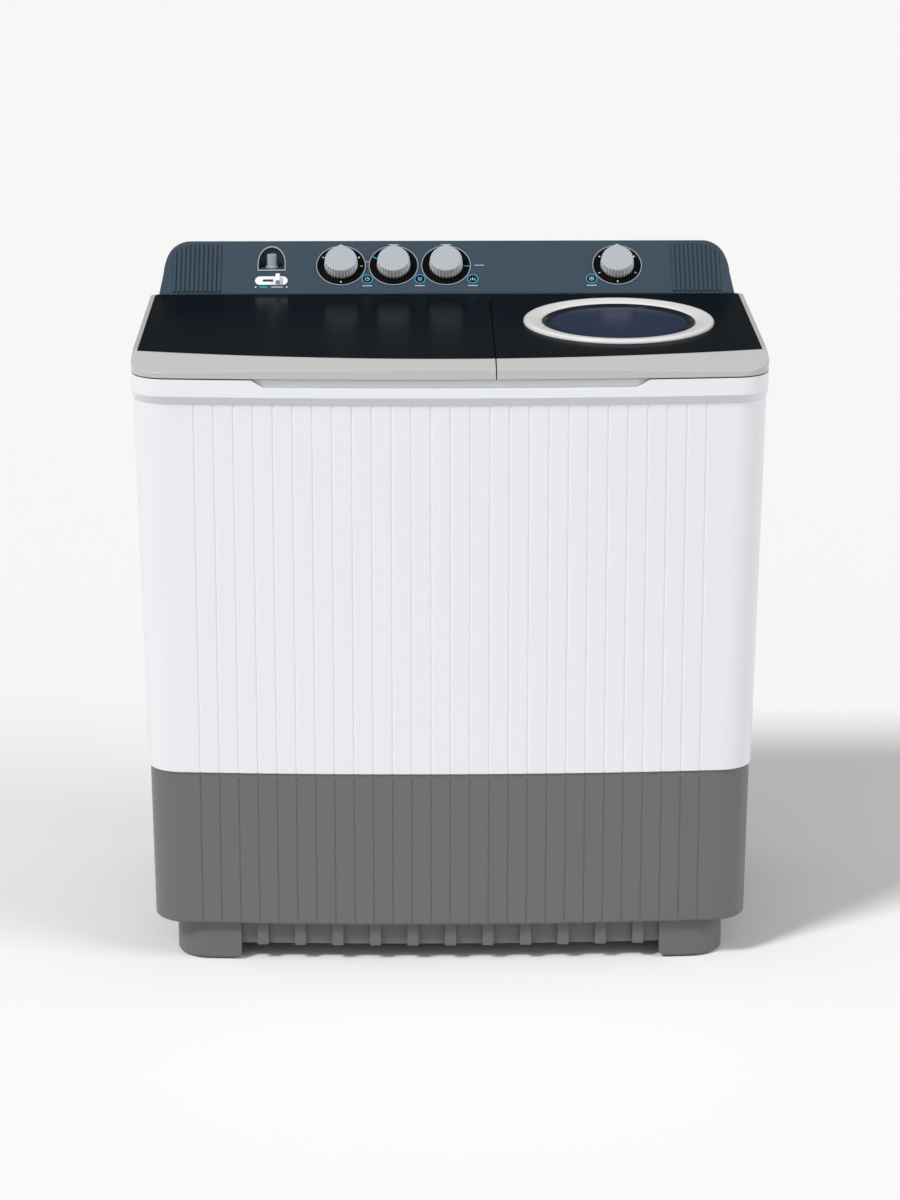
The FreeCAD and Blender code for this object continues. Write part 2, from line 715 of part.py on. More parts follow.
def inlet_arch(grow, y0, y1):
    half = inlet_width / 2 + grow
    low = inlet_floor_z - grow
    shoulder = inlet_floor_z + inlet_arch_rise - inlet_width / 2
    wire = Part.Wire([
        Part.LineSegment(Vec(inlet_x - half, y0, low), Vec(inlet_x + half, y0, low)).toShape(),
        Part.LineSegment(Vec(inlet_x + half, y0, low), Vec(inlet_x + half, y0, shoulder)).toShape(),
        Part.Arc(Vec(inlet_x + half, y0, shoulder), Vec(inlet_x, y0, shoulder + half),
                 Vec(inlet_x - half, y0, shoulder)).toShape(),
        Part.LineSegment(Vec(inlet_x - half, y0, shoulder), Vec(inlet_x - half, y0, low)).toShape(),
    ])
    return Part.Face(wire).extrude(Vec(0, y1 - y0, 0))


def panel_slab(n0, n1):
    return on_panel(box(-frame_half, frame_half, -40, panel_length + 40, n0, n1))


def selector_slot(x, length, height, n0, n1):
    r = height / 2
    parts = [box(x - length / 2 + r, x + length / 2 - r, selector_v - r, selector_v + r, n0, n1)]
    for end in (-1, 1):
        parts.append(rod(x + end * (length / 2 - r), selector_v, n0, n1, r))
    return joined(parts)


def nozzle(x, grow):
    half = nozzle_width / 2 + grow
    return box(x - half, x + half, wash_rear - 6, foot_y + 12, deck_z - grow, deck_z + 8 + grow)


def make_control_panel():
    shell = housing_block(0, rear_y - panel_wall, deck_z)
    room = housing_block(panel_wall, rear_y, deck_z - 1)
    cup = inlet_arch(panel_wall, foot_y, inlet_back + panel_wall).common(shell)
    body = joined([shell.cut(room), cup])
    holes = [on_panel(rod(x, dial_v, -panel_wall - 1, 1, shaft_radius + 1.5)) for x in dial_x.values()]
    holes.append(inlet_arch(0, front_y, inlet_back))
    holes.append(rod(inlet_x, spigot_y, deck_z, inlet_floor_z + 1, spigot_radius))
    holes.append(on_panel(selector_slot(inlet_x, slot_length, selector_stem + 1, -panel_wall - 1, 1)))
    holes += [nozzle(x, side_play) for x in nozzle_places]
    return body.cut(holes)


def make_rear_cover():
    cover = housing_block(panel_wall + side_play, rear_y, deck_z)
    cover = cover.common(box(-frame_half, frame_half, rear_y - panel_wall, rear_y, deck_z, ridge_z))
    slots = [box(x - 20, x + 20, rear_y - panel_wall - 1, rear_y + 1, z, z + 4)
             for x in spread(5, 60) for z in (deck_z + 20, deck_z + 30, deck_z + 40)]
    return cover.cut(slots)


def make_dial_plates():
    return Part.makeCompound([on_panel(rod(x, dial_v, 0, 1, dial_radius).cut(
        rod(x, dial_v, -1, 2, shaft_radius + 1.5))) for x in dial_x.values()])


def make_bright_trims():
    rings = [on_panel(rod(x, dial_v, 0, 1.6, dial_radius + dial_ring_width).cut(
        rod(x, dial_v, -1, 2, dial_radius))) for x in dial_x.values()]
    return Part.makeCompound(rings + [make_inlet_rim()])


def make_knob(x):
    low = 1 + knob_gap
    high = low + knob_height
    skirt = Part.makeCone(knob_skirt_radius, knob_top_radius, knob_height, Vec(x, dial_v, low))
    lean = math.acos(knob_top_radius / knob_tip)
    side_x = knob_top_radius * math.sin(lean)
    side_v = knob_top_radius * math.cos(lean)
    corners = [Vec(x, dial_v, low + 4), Vec(x + side_x, dial_v + side_v, low + 4),
               Vec(x, dial_v + knob_tip, low + 4), Vec(x - side_x, dial_v + side_v, low + 4)]
    nose = Part.Face(Part.makePolygon(corners + corners[:1])).extrude(Vec(0, 0, knob_height - 4))
    flutes = []
    for index in range(knob_flutes):
        angle = 2 * math.pi * (index + 0.5) / knob_flutes
        if abs(angle - math.pi / 2) > 0.6:
            place = Vec(x + (knob_skirt_radius + side_play) * math.cos(angle),
                        dial_v + (knob_skirt_radius + side_play) * math.sin(angle), low - 1)
            flutes.append(Part.makeCylinder(flute_radius, knob_height - 4, place))
    bore = rod(x, dial_v, 0, low + knob_height - 4, shaft_radius)
    hollow = rod(x, dial_v, 0, low + 5, knob_skirt_radius - 4).cut(rod(x, dial_v, 0, low + 5, 9))
    return on_panel(joined([skirt, nose]).cut(flutes + [bore, hollow]))


def make_shaft(x):
    low = -panel_wall - timer_size[2] * 0.7
    return on_panel(rod(x, dial_v, low, 1 + knob_gap + knob_height - 4, shaft_radius))


def make_timer(x, width, height, depth):
    body = box(x - width / 2, x + width / 2, dial_v - height / 2, dial_v + height / 2,
               -panel_wall - depth, -panel_wall)
    lugs = box(x - width / 2 - 8, x + width / 2 + 8, dial_v - 8, dial_v + 8, -panel_wall - 3, -panel_wall)
    bore = rod(x, dial_v, -panel_wall - timer_size[2] * 0.7 - side_play, 0, shaft_radius + running_gap)
    return on_panel(joined([body, lugs]).cut(bore))


def make_inlet_rim():
    rim = inlet_arch(1.6, foot_y - 20, inlet_back).common(panel_slab(0, 1.4))
    return rim.cut(inlet_arch(0, foot_y - 30, inlet_back + 1))


def make_spigot():
    outer = rod(inlet_x, spigot_y, inlet_floor_z - spigot_tail, inlet_floor_z + spigot_height, spigot_radius)
    seat = rod(inlet_x, spigot_y, inlet_floor_z, inlet_floor_z + spigot_collar, spigot_radius + 2)
    nut_z = inlet_floor_z - panel_wall
    nut = rod(inlet_x, spigot_y, nut_z - 3, nut_z, spigot_radius + 4)
    return joined([outer, seat, nut]).cut(rod(inlet_x, spigot_y, 0, ridge_z + 50, spigot_radius - 2.2))


def make_selector_plate():
    plate = selector_slot(inlet_x, selector_length, selector_height, 0, 1.5)
    return on_panel(plate.cut(selector_slot(inlet_x, slot_length, selector_stem + 1, -1, 2)))


def stem_bar(n0, n1):
    half = selector_stem / 2
    return box(lever_x - half, lever_x + half, selector_v - half, selector_v + half, n0, n1)


def make_slider():
    grip = box(lever_x - lever_width / 2, lever_x + lever_width / 2, selector_v - 7, selector_v + 7,
               1.5 + side_play, 11)
    grip = grip.makeFillet(1.2, grip.Edges)
    foot = rod(lever_x, selector_v, 1.5 + side_play, 3.2, 7.2)
    return on_panel(joined([grip, foot, stem_bar(-9, 3)]))


def make_moving_spout():
    half = trough_depth / 2
    plate = box(lever_x - half - 1, lever_x + half + 1, selector_v - half, selector_v + half,
                -panel_wall - 4, -panel_wall - side_play).cut(stem_bar(-20, 0))
    reach = selector_travel / 2 + spigot_radius + 8
    left = lever_x - reach - 10
    right = lever_x + reach
    top = inlet_floor_z - spigot_tail - side_play
    trough = box(left, right, spigot_y - half, spigot_y + half, spout_low_z, top)
    room = box(left + channel_wall, right - channel_wall, spigot_y - half + channel_wall,
               spigot_y + half - channel_wall, spout_low_z + channel_wall, top + 1)
    outlet = rod(lever_x, spigot_y, spout_low_z - 1, spout_low_z + 3, spigot_radius)
    hanger = box(lever_x - 5, lever_x + 5, selector_v - half, selector_v - 4, -32, -panel_wall - 2)
    arm = box(lever_x - 5, lever_x + 5, foot_y + trough_depth, spigot_y - half + 1,
              spout_low_z + channel_wall, spout_low_z + 10)
    return joined([on_panel(plate), trough.cut([room, outlet]), on_panel(hanger), arm])


def make_water_channel():
    y0 = foot_y + 6
    y1 = rear_y - 12
    left = inlet_x - 1.5 * nozzle_width
    right = spin_x + 0.75 * nozzle_width
    top = deck_z + channel_height
    tray = box(left, right, y0, y1, deck_z, top)
    tray = tray.cut(box(left + channel_wall, right - channel_wall, y0 + channel_wall, y1 - channel_wall,
                        deck_z + channel_wall, top + 1))
    wall = box(inlet_x - channel_wall / 2, inlet_x + channel_wall / 2, y0, y1, deck_z, top)
    spouts = []
    ways = []
    for x in nozzle_places:
        half = nozzle_width / 2 - channel_wall
        spouts.append(nozzle(x, 0))
        ways.append(box(x - half, x + half, wash_rear - 7, y0 + 4, deck_z + channel_wall, deck_z + 6))
    return joined([tray, wall] + spouts).cut(ways)


# ---- tubs and what stands in them ----
def make_wash_tub():
    low = tub_floor_z - tub_wall
    cup_z = cup_floor_z - tub_wall
    outer = joined([wash_mouth(low, deck_under_z, tub_wall),
                    wash_mouth(deck_under_z - tub_wall, deck_under_z, tub_wall + tub_flange),
                    rod(wash_x, wash_y, cup_z, low + 1, pulsator_radius + pulsator_gap + tub_wall)])
    return outer.cut([wash_mouth(tub_floor_z, deck_under_z + 1),
                      rod(wash_x, wash_y, cup_floor_z, tub_floor_z + 1, pulsator_radius + pulsator_gap),
                      rod(wash_x, wash_y, cup_z - 1, tub_floor_z, wash_shaft_radius + 8),
                      rod(drain_x, drain_y, low - 1, tub_floor_z + 1, drain_hole_radius)])


def make_spin_tub():
    low = tub_floor_z - tub_wall
    outside = spin_tub_radius + tub_wall
    outer = joined([rod(spin_x, spin_y, low, deck_under_z, outside),
                    rod(spin_x, spin_y, deck_under_z - tub_wall, deck_under_z, outside + tub_flange)])
    return outer.cut([rod(spin_x, spin_y, tub_floor_z, deck_under_z + 1, spin_tub_radius),
                      rod(spin_x, spin_y, low - 1, tub_floor_z + 1, seal_radius)])


def make_seal():
    low = tub_floor_z - tub_wall
    bore = spin_shaft_radius + running_gap
    return turned([(bore, low - 12), (22, low - 12), (26, low - 6), (seal_radius, low),
                   (seal_radius, low + tub_wall), (34, low + 9), (28, low + 4), (20, low + 12),
                   (bore, low + 12)], spin_x, spin_y)


def make_pulsator():
    low = cup_floor_z + pulsator_lift
    disc = turned([(wash_shaft_radius, low), (pulsator_radius, low), (pulsator_radius, low + 6),
                   (pulsator_radius - 6, low + 9), (110, low + 12), (50, low + 24), (26, low + 34),
                   (wash_shaft_radius, low + 34)], wash_x, wash_y)
    blades = []
    for index in range(blade_count):
        blade = drawn_along_y([(20, low + 6), (pulsator_radius - 10, low + 6),
                               (pulsator_radius - 14, low + 16), (90, low + 34), (34, low + 42),
                               (20, low + 34)], -5, 5)
        blade.rotate(Vec(0, 0, 0), Vec(0, 0, 1), index * 360 / blade_count)
        blade.translate(Vec(wash_x, wash_y, 0))
        blades.append(blade)
    body = joined([disc] + blades)
    return body.cut([rod(wash_x, wash_y, low - 1, low + 50, wash_shaft_radius),
                     rod(wash_x, wash_y, pulsator_seat_z, low + 50, 16)])


def make_pulsator_screw():
    return turned([(0, pulsator_seat_z), (15.8, pulsator_seat_z), (15.8, pulsator_seat_z + 4),
                   (10, pulsator_seat_z + 7), (0, pulsator_seat_z + 7)], wash_x, wash_y)


def make_wash_shaft():
    return rod(wash_x, wash_y, pulley_z, pulsator_seat_z, wash_shaft_radius)


def make_gearbox():
    top = cup_floor_z - tub_wall
    bore = wash_shaft_radius + running_gap
    return turned([(bore, pulley_z + pulley_height + 6), (24, pulley_z + pulley_height + 6), (30, top - 34),
                   (58, top - 30), (58, top - 5), (75, top - 5), (75, top), (bore + 7.5, top),
                   (bore + 7.5, top + tub_wall + 3), (bore, top + tub_wall + 3)], wash_x, wash_y)


def pulley(x, y, radius, bore, z):
    rim = radius + 4
    return turned([(bore, z), (rim, z), (rim, z + 3), (radius, z + 6), (radius, z + pulley_height - 6),
                   (rim, z + pulley_height - 3), (rim, z + pulley_height), (bore, z + pulley_height)], x, y)


def make_wash_pulley():
    holes = []
    for index in range(5):
        angle = 2 * math.pi * index / 5
        holes.append(rod(wash_x + 55 * math.cos(angle), wash_y + 55 * math.sin(angle), pulley_z - 1,
                         pulley_z + pulley_height + 1, 20))
    return pulley(wash_x, wash_y, wash_pulley_radius, wash_shaft_radius, pulley_z).cut(holes)


def belt_loop(grow, z0, z1):
    # stadium round both pulleys, from the two circles' outer tangents
    big = wash_pulley_radius + grow
    small = motor_pulley_radius + grow
    lean = math.asin((big - small) / belt_centre_distance)
    c = math.cos(lean)
    s = math.sin(lean)
    low_big = Vec(wash_x + big * s, wash_y - big * c, z0)
    high_big = Vec(wash_x + big * s, wash_y + big * c, z0)
    low_small = Vec(wash_motor_x + small * s, wash_y - small * c, z0)
    high_small = Vec(wash_motor_x + small * s, wash_y + small * c, z0)
    wire = Part.Wire([
        Part.Arc(high_big, Vec(wash_x - big, wash_y, z0), low_big).toShape(),
        Part.LineSegment(low_big, low_small).toShape(),
        Part.Arc(low_small, Vec(wash_motor_x + small, wash_y, z0), high_small).toShape(),
        Part.LineSegment(high_small, high_big).toShape(),
    ])
    return Part.Face(wire).extrude(Vec(0, 0, z1 - z0))


def make_belt():
    z0 = pulley_z + 6 + side_play
    z1 = pulley_z + pulley_height - 6 - side_play
    return belt_loop(side_play + belt_thickness, z0, z1).cut(belt_loop(side_play, z0 - 1, z1 + 1))


def make_wash_motor_pulley():
    shaft = rod(wash_motor_x, wash_y, motor_top - 30, pulley_z + pulley_height, rotor_radius)
    return joined([pulley(wash_motor_x, wash_y, motor_pulley_radius, rotor_radius - 0.5, pulley_z), shaft])


def motor_body(x, y, radius):
    body = turned([(0, motor_z), (radius - 14, motor_z), (radius, motor_z + 12), (radius, motor_z + 40),
                   (radius - 5, motor_z + 42), (radius - 5, motor_top - 44), (radius, motor_top - 42),
                   (radius, motor_top - 14), (radius - 18, motor_top - 4), (20, motor_top),
                   (0, motor_top)], x, y)
    return body


def make_wash_motor():
    return motor_body(wash_motor_x, wash_y, motor_radius).cut(
        rod(wash_motor_x, wash_y, motor_top - 31, motor_top + 1, rotor_radius + running_gap))


def make_wash_motor_bracket():
    plate = box(wash_motor_x - bracket_half, wash_motor_x + bracket_half, wash_y - bracket_half,
                wash_y + bracket_half, motor_z - 3, motor_z)
    spot = bracket_half - leg_radius - 1
    legs = [rod(wash_motor_x + sx * spot, wash_y + sy * spot, floor_z, motor_z - 2, leg_radius)
            for sx in (-1, 1) for sy in (-1, 1)]
    return joined([plate] + legs)


def make_spin_motor():
    return motor_body(spin_x, spin_y, spin_motor_radius).cut(
        rod(spin_x, spin_y, motor_top - 41, motor_top + 1, spin_shaft_radius + running_gap))


def make_spin_motor_plate():
    px = spin_x + brake_pivot[0]
    py = spin_y + brake_pivot[1]
    plate = rod(spin_x, spin_y, motor_z - 4, motor_z, motor_plate_radius)
    post = rod(px, py, motor_z - 1, brake_low - side_play, brake_pin_radius + 3)
    pin = rod(px, py, motor_z, brake_low + 14, brake_pin_radius)
    return joined([plate, post, pin])


def make_spring_mounts():
    mounts = []
    high = motor_z - 4
    step = (high - floor_z) / spring_waves
    for index in range(3):
        angle = 2 * math.pi * index / 3 + 0.5
        profile = [(4, floor_z)]
        for wave in range(spring_waves):
            profile += [(mount_radius, floor_z + wave * step), (mount_radius, floor_z + (wave + 0.35) * step),
                        (mount_radius - 5, floor_z + (wave + 0.65) * step)]
        profile += [(mount_radius, high), (4, high)]
        mounts.append(turned(profile, spin_x + mount_circle * math.cos(angle),
                             spin_y + mount_circle * math.sin(angle)))
    return Part.makeCompound(mounts)


def make_spin_shaft():
    # the nut that holds the basket is screwed down on the shaft's upper end
    nut_z = basket_floor_z + 36
    shaft = rod(spin_x, spin_y, motor_top - 40, nut_z + 12, spin_shaft_radius)
    return joined([shaft, rod(spin_x, spin_y, nut_z, nut_z + 8, 19)])


def make_brake_drum():
    z = motor_top + 15
    return turned([(spin_shaft_radius, z), (24, z), (24, z + 6), (brake_drum_radius, z + 6),
                   (brake_drum_radius, z + 36), (brake_drum_radius - 5, z + 36),
                   (brake_drum_radius - 5, z + 12), (24, z + 12), (24, z + 40), (spin_shaft_radius, z + 40)],
                  spin_x, spin_y)


def make_brake_arm():
    px = spin_x + brake_pivot[0]
    py = spin_y + brake_pivot[1]
    z0 = brake_low
    z1 = brake_low + 10
    boss = rod(px, py, z0, z1, 10)
    bar = box(px - 7, px + 7, py, py + brake_arm_length, z0, z1)
    shoe = box(spin_x + 50, px, spin_y - 26, spin_y + 6, z0, z1)
    drum_space = rod(spin_x, spin_y, z0 - 1, z1 + 1, brake_drum_radius + brake_gap)
    bore = rod(px, py, z0 - 1, z1 + 1, brake_pin_radius + running_gap)
    return joined([boss, bar, shoe]).cut([drum_space, bore])


def make_basket():
    top = basket_floor_z + basket_height
    shell = rod(spin_x, spin_y, basket_floor_z, top, basket_radius)
    shell = shell.cut(rod(spin_x, spin_y, basket_floor_z + 4, top + 1, basket_radius - basket_wall))
    low = basket_floor_z
    hub = turned([(spin_shaft_radius, low - 10), (26, low - 10), (26, low + 4), (60, low + 4),
                  (30, low + 36), (spin_shaft_radius, low + 36)], spin_x, spin_y)
    holes = []
    for row in range(hole_rows):
        z = basket_floor_z + 40 + row * (basket_height - balance_height - 70) / (hole_rows - 1)
        for column in range(hole_columns // 2):
            angle = 2 * math.pi * (column + 0.5 * (row % 2)) / hole_columns
            hole = Part.makeCylinder(basket_hole_radius, 2 * basket_radius + 10,
                                     Vec(-basket_radius - 5, 0, z), Vec(1, 0, 0))
            hole.rotate(Vec(0, 0, 0), Vec(0, 0, 1), math.degrees(angle))
            hole.translate(Vec(spin_x, spin_y, 0))
            holes.append(hole)
    shell = shell.cut([rod(spin_x, spin_y, low - 1, low + 5, spin_shaft_radius)] + holes)
    return joined([shell, hub])


def make_balance_ring():
    top = basket_floor_z + basket_height
    outer = basket_radius - basket_wall
    return turned([(outer - balance_width, top - balance_height), (outer, top - balance_height), (outer, top),
                   (outer - balance_width + 5, top), (outer - balance_width, top - 5)], spin_x, spin_y)


# ---- drain ----
def make_drain_valve():
    port_z = valve_low + port_rise
    shell = rod(drain_x, drain_y, valve_low, valve_top, valve_radius)
    side = rod_along_y(drain_y, drain_y + port_reach, drain_x, port_z, pipe_radius)
    chamber = rod(drain_x, drain_y, valve_low + 4, valve_top + 1, valve_radius - 4)
    way = rod_along_y(drain_y, drain_y + port_reach + 1, drain_x, port_z, pipe_radius - pipe_wall)
    bridge = box(drain_x - valve_radius + 3, drain_x + valve_radius - 3, drain_y - 3, drain_y + 3,
                 valve_top - 12, valve_top - 6)
    guide = rod(drain_x, drain_y, valve_top - 12, valve_top - 6, 2 * stem_radius)
    bore = rod(drain_x, drain_y, valve_top - 13, valve_top, stem_radius + running_gap)
    body = joined([shell, side]).cut([chamber, way])
    return joined([body, bridge, guide]).cut(bore)


def make_drain_stem():
    plug = rod(drain_x, drain_y, valve_low + 4 + side_play, valve_low + 10, valve_radius - 6)
    top = tub_floor_z + 2 * drain_travel + 10
    stem = rod(drain_x, drain_y, valve_low + 9, top, stem_radius)
    eye = Part.makeTorus(5, 2, Vec(drain_x, drain_y, top + 4), Vec(0, 1, 0))
    return joined([plug, stem, eye])


def make_drain_pipe():
    # down from the valve's side port to the outlet low on the machine's back
    z_high = valve_low + port_rise
    y0 = drain_y + port_reach
    y_drop = y0 + pipe_drop
    short = pipe_bend * (1 - math.sqrt(0.5))
    path = Part.Wire([
        Part.LineSegment(Vec(drain_x, y0, z_high), Vec(drain_x, y_drop - pipe_bend, z_high)).toShape(),
        Part.Arc(Vec(drain_x, y_drop - pipe_bend, z_high), Vec(drain_x, y_drop - short, z_high - short),
                 Vec(drain_x, y_drop, z_high - pipe_bend)).toShape(),
        Part.LineSegment(Vec(drain_x, y_drop, z_high - pipe_bend),
                         Vec(drain_x, y_drop, outlet_z + pipe_bend)).toShape(),
        Part.Arc(Vec(drain_x, y_drop, outlet_z + pipe_bend), Vec(drain_x, y_drop + short, outlet_z + short),
                 Vec(drain_x, y_drop + pipe_bend, outlet_z)).toShape(),
        Part.LineSegment(Vec(drain_x, y_drop + pipe_bend, outlet_z),
                         Vec(drain_x, base_rear, outlet_z)).toShape(),
    ])

    def swept(radius):
        ring = Part.Wire([Part.Circle(Vec(drain_x, y0, z_high), Vec(0, 1, 0), radius).toShape()])
        return path.makePipeShell([ring], True, False)
    collar = rod_along_y(base_rear, base_rear + cover_sheet, drain_x, outlet_z, pipe_collar)
    spigot = rod_along_y(base_rear, outlet_end, drain_x, outlet_z, pipe_radius)
    bore = rod_along_y(base_rear - 1, outlet_end + 1, drain_x, outlet_z, pipe_radius - pipe_wall)
    return joined([swept(pipe_radius), collar, spigot]).cut([swept(pipe_radius - pipe_wall), bore])


def make_overflow_cover():
    x0 = wash_left + 6
    x1 = drain_x + 40
    y0 = drain_y - overflow_reach
    y1 = wash_rear - 0.1
    z1 = deck_z - overflow_drop
    cover = box(x0, x1, y0, y1, tub_floor_z, z1)
    cover = cover.cut(box(x0 + 3, x1 - 3, y0 + 3, y1 + 1, tub_floor_z - 1, z1 - 3))
    slots = [box(x0 + 12 + 12 * index, x0 + 18 + 12 * index, y0 - 1, y0 + 4, z, z + 50)
             for index in range(6) for z in (tub_floor_z + 30, tub_floor_z + 100, tub_floor_z + 300)]
    return cover.cut(slots).common(wash_mouth(tub_floor_z - 1, z1 + 1, -0.1))


def make_lint_filter():
    x0 = wash_x - filter_width / 2
    z0 = tub_floor_z + filter_rise
    frame = box(x0, x0 + filter_width, wash_rear - filter_depth, wash_rear, z0, z0 + filter_height)
    wide = (filter_width - 7) / 3
    tall = (filter_height - 8) / 4
    bays = [box(x0 + 5 + i * wide, x0 + wide + i * wide, wash_rear - filter_depth - 1, wash_rear - 3,
                z0 + 6 + j * tall, z0 + tall + j * tall) for i in range(3) for j in range(4)]
    return frame.cut(bays)


# ---- electrical pieces ----
def make_lid_switch():
    x = frame_half - 24
    case = box(x - 9, x + 9, hinge_y - 20, hinge_y - 8, deck_z, deck_z + 14)
    return case.fuse(rod(x, hinge_y - 14, deck_z + 13, deck_z + 18, 2.5))


def make_capacitor():
    x, y = capacitor_place
    return rounded_block(x, x + capacitor_size[0], y, y + capacitor_size[1], floor_z,
                         floor_z + capacitor_size[2], 6)


def make_gland():
    y = base_rear + cover_sheet
    body = rod_along_y(y - cover_sheet - 6, y + 7, gland_x, gland_z, gland_radius)
    flange = rod_along_y(y, y + 3, gland_x, gland_z, gland_radius + 3)
    return joined([body, flange]).cut(rod_along_y(y - 20, y + 20, gland_x, gland_z, gland_bore))


export("base", make_base())
export("foot_pads", Part.makeCompound(pad_blocks(0)))
export("cabinet", make_cabinet())
export("back_cover", make_back_cover())
export("back_cover_screws", make_cover_screws())
export("top_frame", make_top_frame())
export("lid_hinge_pins", make_hinge_pins())
export("wash_lid_frame", lid_frame(-1, wash_hinges))
export("wash_lid_glass", glass_slab(-1))
export("spin_lid_frame", lid_frame(1, spin_hinges))
export("spin_lid_glass", glass_slab(1).cut(on_lid(rod(0, 0, -20, 20, ring_throat))))
export("spin_lid_ring", make_ring())
export("spin_lid_window", make_window())
export("control_panel", make_control_panel())
export("panel_rear_cover", make_rear_cover())
export("dial_plates", make_dial_plates())
export("bright_trims", make_bright_trims())
for name, x in dial_x.items():
    export(name + "_knob", make_knob(x))
    export(name + "_shaft", make_shaft(x))
export("timers", Part.makeCompound([make_timer(dial_x["wash_timer"], *timer_size),
                                    make_timer(dial_x["spin_timer"], *timer_size)]))
export("rotary_switches", Part.makeCompound([make_timer(dial_x["wash_mode"], *switch_size),
                                             make_timer(dial_x["drain"], *switch_size)]))
export("water_inlet_spigot", make_spigot())
export("selector_plate", make_selector_plate())
export("water_selector_lever", make_slider())
export("moving_spout", make_moving_spout())
export("water_channel", make_water_channel())
export("wash_tub", make_wash_tub())
export("spin_tub", make_spin_tub())
export("shaft_seal", make_seal())
export("pulsator", make_pulsator())
export("pulsator_screw", make_pulsator_screw())
export("wash_shaft", make_wash_shaft())
export("gearbox", make_gearbox())
export("wash_pulley", make_wash_pulley())
export("drive_belt", make_belt())
export("wash_motor_pulley", make_wash_motor_pulley())
export("wash_motor", make_wash_motor())
export("wash_motor_bracket", make_wash_motor_bracket())
export("spin_motor", make_spin_motor())
export("spin_motor_plate", make_spin_motor_plate())
export("spring_mounts", make_spring_mounts())
export("spin_shaft", make_spin_shaft())
export("brake_drum", make_brake_drum())
export("brake_arm", make_brake_arm())
export("spin_basket", make_basket())
export("balance_ring", make_balance_ring())
export("drain_valve", make_drain_valve())
export("drain_valve_stem", make_drain_stem())
export("drain_pipe", make_drain_pipe())
export("overflow_cover", make_overflow_cover())
export("lint_filter", make_lint_filter())
export("lid_switch", make_lid_switch())
export("motor_capacitor", make_capacitor())
export("cord_gland", make_gland())
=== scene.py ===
import json
import math

import bmesh
import bpy
from mathutils import Matrix, Vector


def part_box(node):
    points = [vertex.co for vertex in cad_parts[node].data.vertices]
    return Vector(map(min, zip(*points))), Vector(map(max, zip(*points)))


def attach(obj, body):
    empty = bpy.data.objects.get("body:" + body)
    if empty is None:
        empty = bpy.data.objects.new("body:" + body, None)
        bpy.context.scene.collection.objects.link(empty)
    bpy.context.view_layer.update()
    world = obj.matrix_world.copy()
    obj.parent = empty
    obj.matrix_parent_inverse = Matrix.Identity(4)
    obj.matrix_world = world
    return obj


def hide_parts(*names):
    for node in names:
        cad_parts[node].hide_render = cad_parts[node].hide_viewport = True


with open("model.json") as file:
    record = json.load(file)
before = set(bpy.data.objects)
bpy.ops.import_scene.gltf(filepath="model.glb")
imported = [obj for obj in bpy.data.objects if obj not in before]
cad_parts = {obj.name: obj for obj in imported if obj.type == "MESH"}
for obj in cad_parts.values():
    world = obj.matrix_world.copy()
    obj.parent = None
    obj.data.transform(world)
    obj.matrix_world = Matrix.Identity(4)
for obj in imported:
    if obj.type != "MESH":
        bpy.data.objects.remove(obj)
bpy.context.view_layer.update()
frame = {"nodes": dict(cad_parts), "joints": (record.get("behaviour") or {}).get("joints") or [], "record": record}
nodes = frame["nodes"]


# ---- small helpers ----
def hexColour(text):
    # sRGB hex to the linear colour that the sockets want
    parts = [int(text[i:i + 2], 16) / 255 for i in (1, 3, 5)]
    return (*[c / 12.92 if c <= 0.04045 else ((c + 0.055) / 1.055) ** 2.4 for c in parts], 1.0)


def addNode(tree, kind, inputs=None, **attributes):
    # inputs go by name, or by number where a node has several of one name: 6 and 7 are a mix node's two colours
    node = tree.nodes.new(kind)
    for name, value in attributes.items():
        setattr(node, name, value)
    for name, value in (inputs or {}).items():
        if isinstance(value, bpy.types.NodeSocket):
            tree.links.new(value, node.inputs[name])
        else:
            node.inputs[name].default_value = value
    return node


def perMm(size):
    # texture scale for a pattern whose features are this many millimetres across
    return 1000.0 / size


def newTree(name):
    material = bpy.data.materials.new(name)
    material.use_nodes = True
    material.node_tree.nodes.clear()
    return material, material.node_tree


# ---- camera ----
cameraLook = {
    "place": (-0.069, -5.681, 2.120),       # metres
    "pitch": 15.987,            # degrees below level
    "yaw": 0.718,               # degrees to the right of straight ahead
    "lens": 116.7,              # millimetres
    "sensor": 36,
    "farClip": 200,             # metres, past the floor's far edge
}
camera = bpy.data.objects.new("camera", bpy.data.cameras.new("camera"))
bpy.context.scene.collection.objects.link(camera)
camera.location = cameraLook["place"]
camera.rotation_euler = (math.radians(90 - cameraLook["pitch"]), 0, -math.radians(cameraLook["yaw"]))
camera.data.sensor_width = cameraLook["sensor"]
camera.data.lens = cameraLook["lens"]
camera.data.clip_end = cameraLook["farClip"]
bpy.context.scene.camera = camera
bpy.context.scene.view_settings.view_transform = "Standard"

# ---- studio: pale floor, two soft suns and a dim dome, brightest at the sides and in front ----
studioLook = {
    "floor": "#F4F4F2",
    "floorBounce": "#C4C4C4",   # how light the floor is for the light that it throws back up
    "floorRoughness": 0.95,
    "floorSize": 160.0,         # metres
    "crown": 0.29,              # dome overhead
    "front": 0.51,              # dome in front, a low panel
    "back": 0.16,               # dome behind the machine, dimmer
    "sides": 0.78,              # dome at both sides, tall panels that light the rounded corners
    "frontFade": (-0.6, 0.1),   # where each panel fades, on the dome's own -1 to 1
    "sidesFade": (0.6, 0.95),
    "crownFade": (0.45, 0.75),
    "key": (-48, 49, 2.08, 12),     # from the left front: turn, height, strength, softness in degrees
    "fill": (64, 38, 0.9, 30),      # from the right front
}


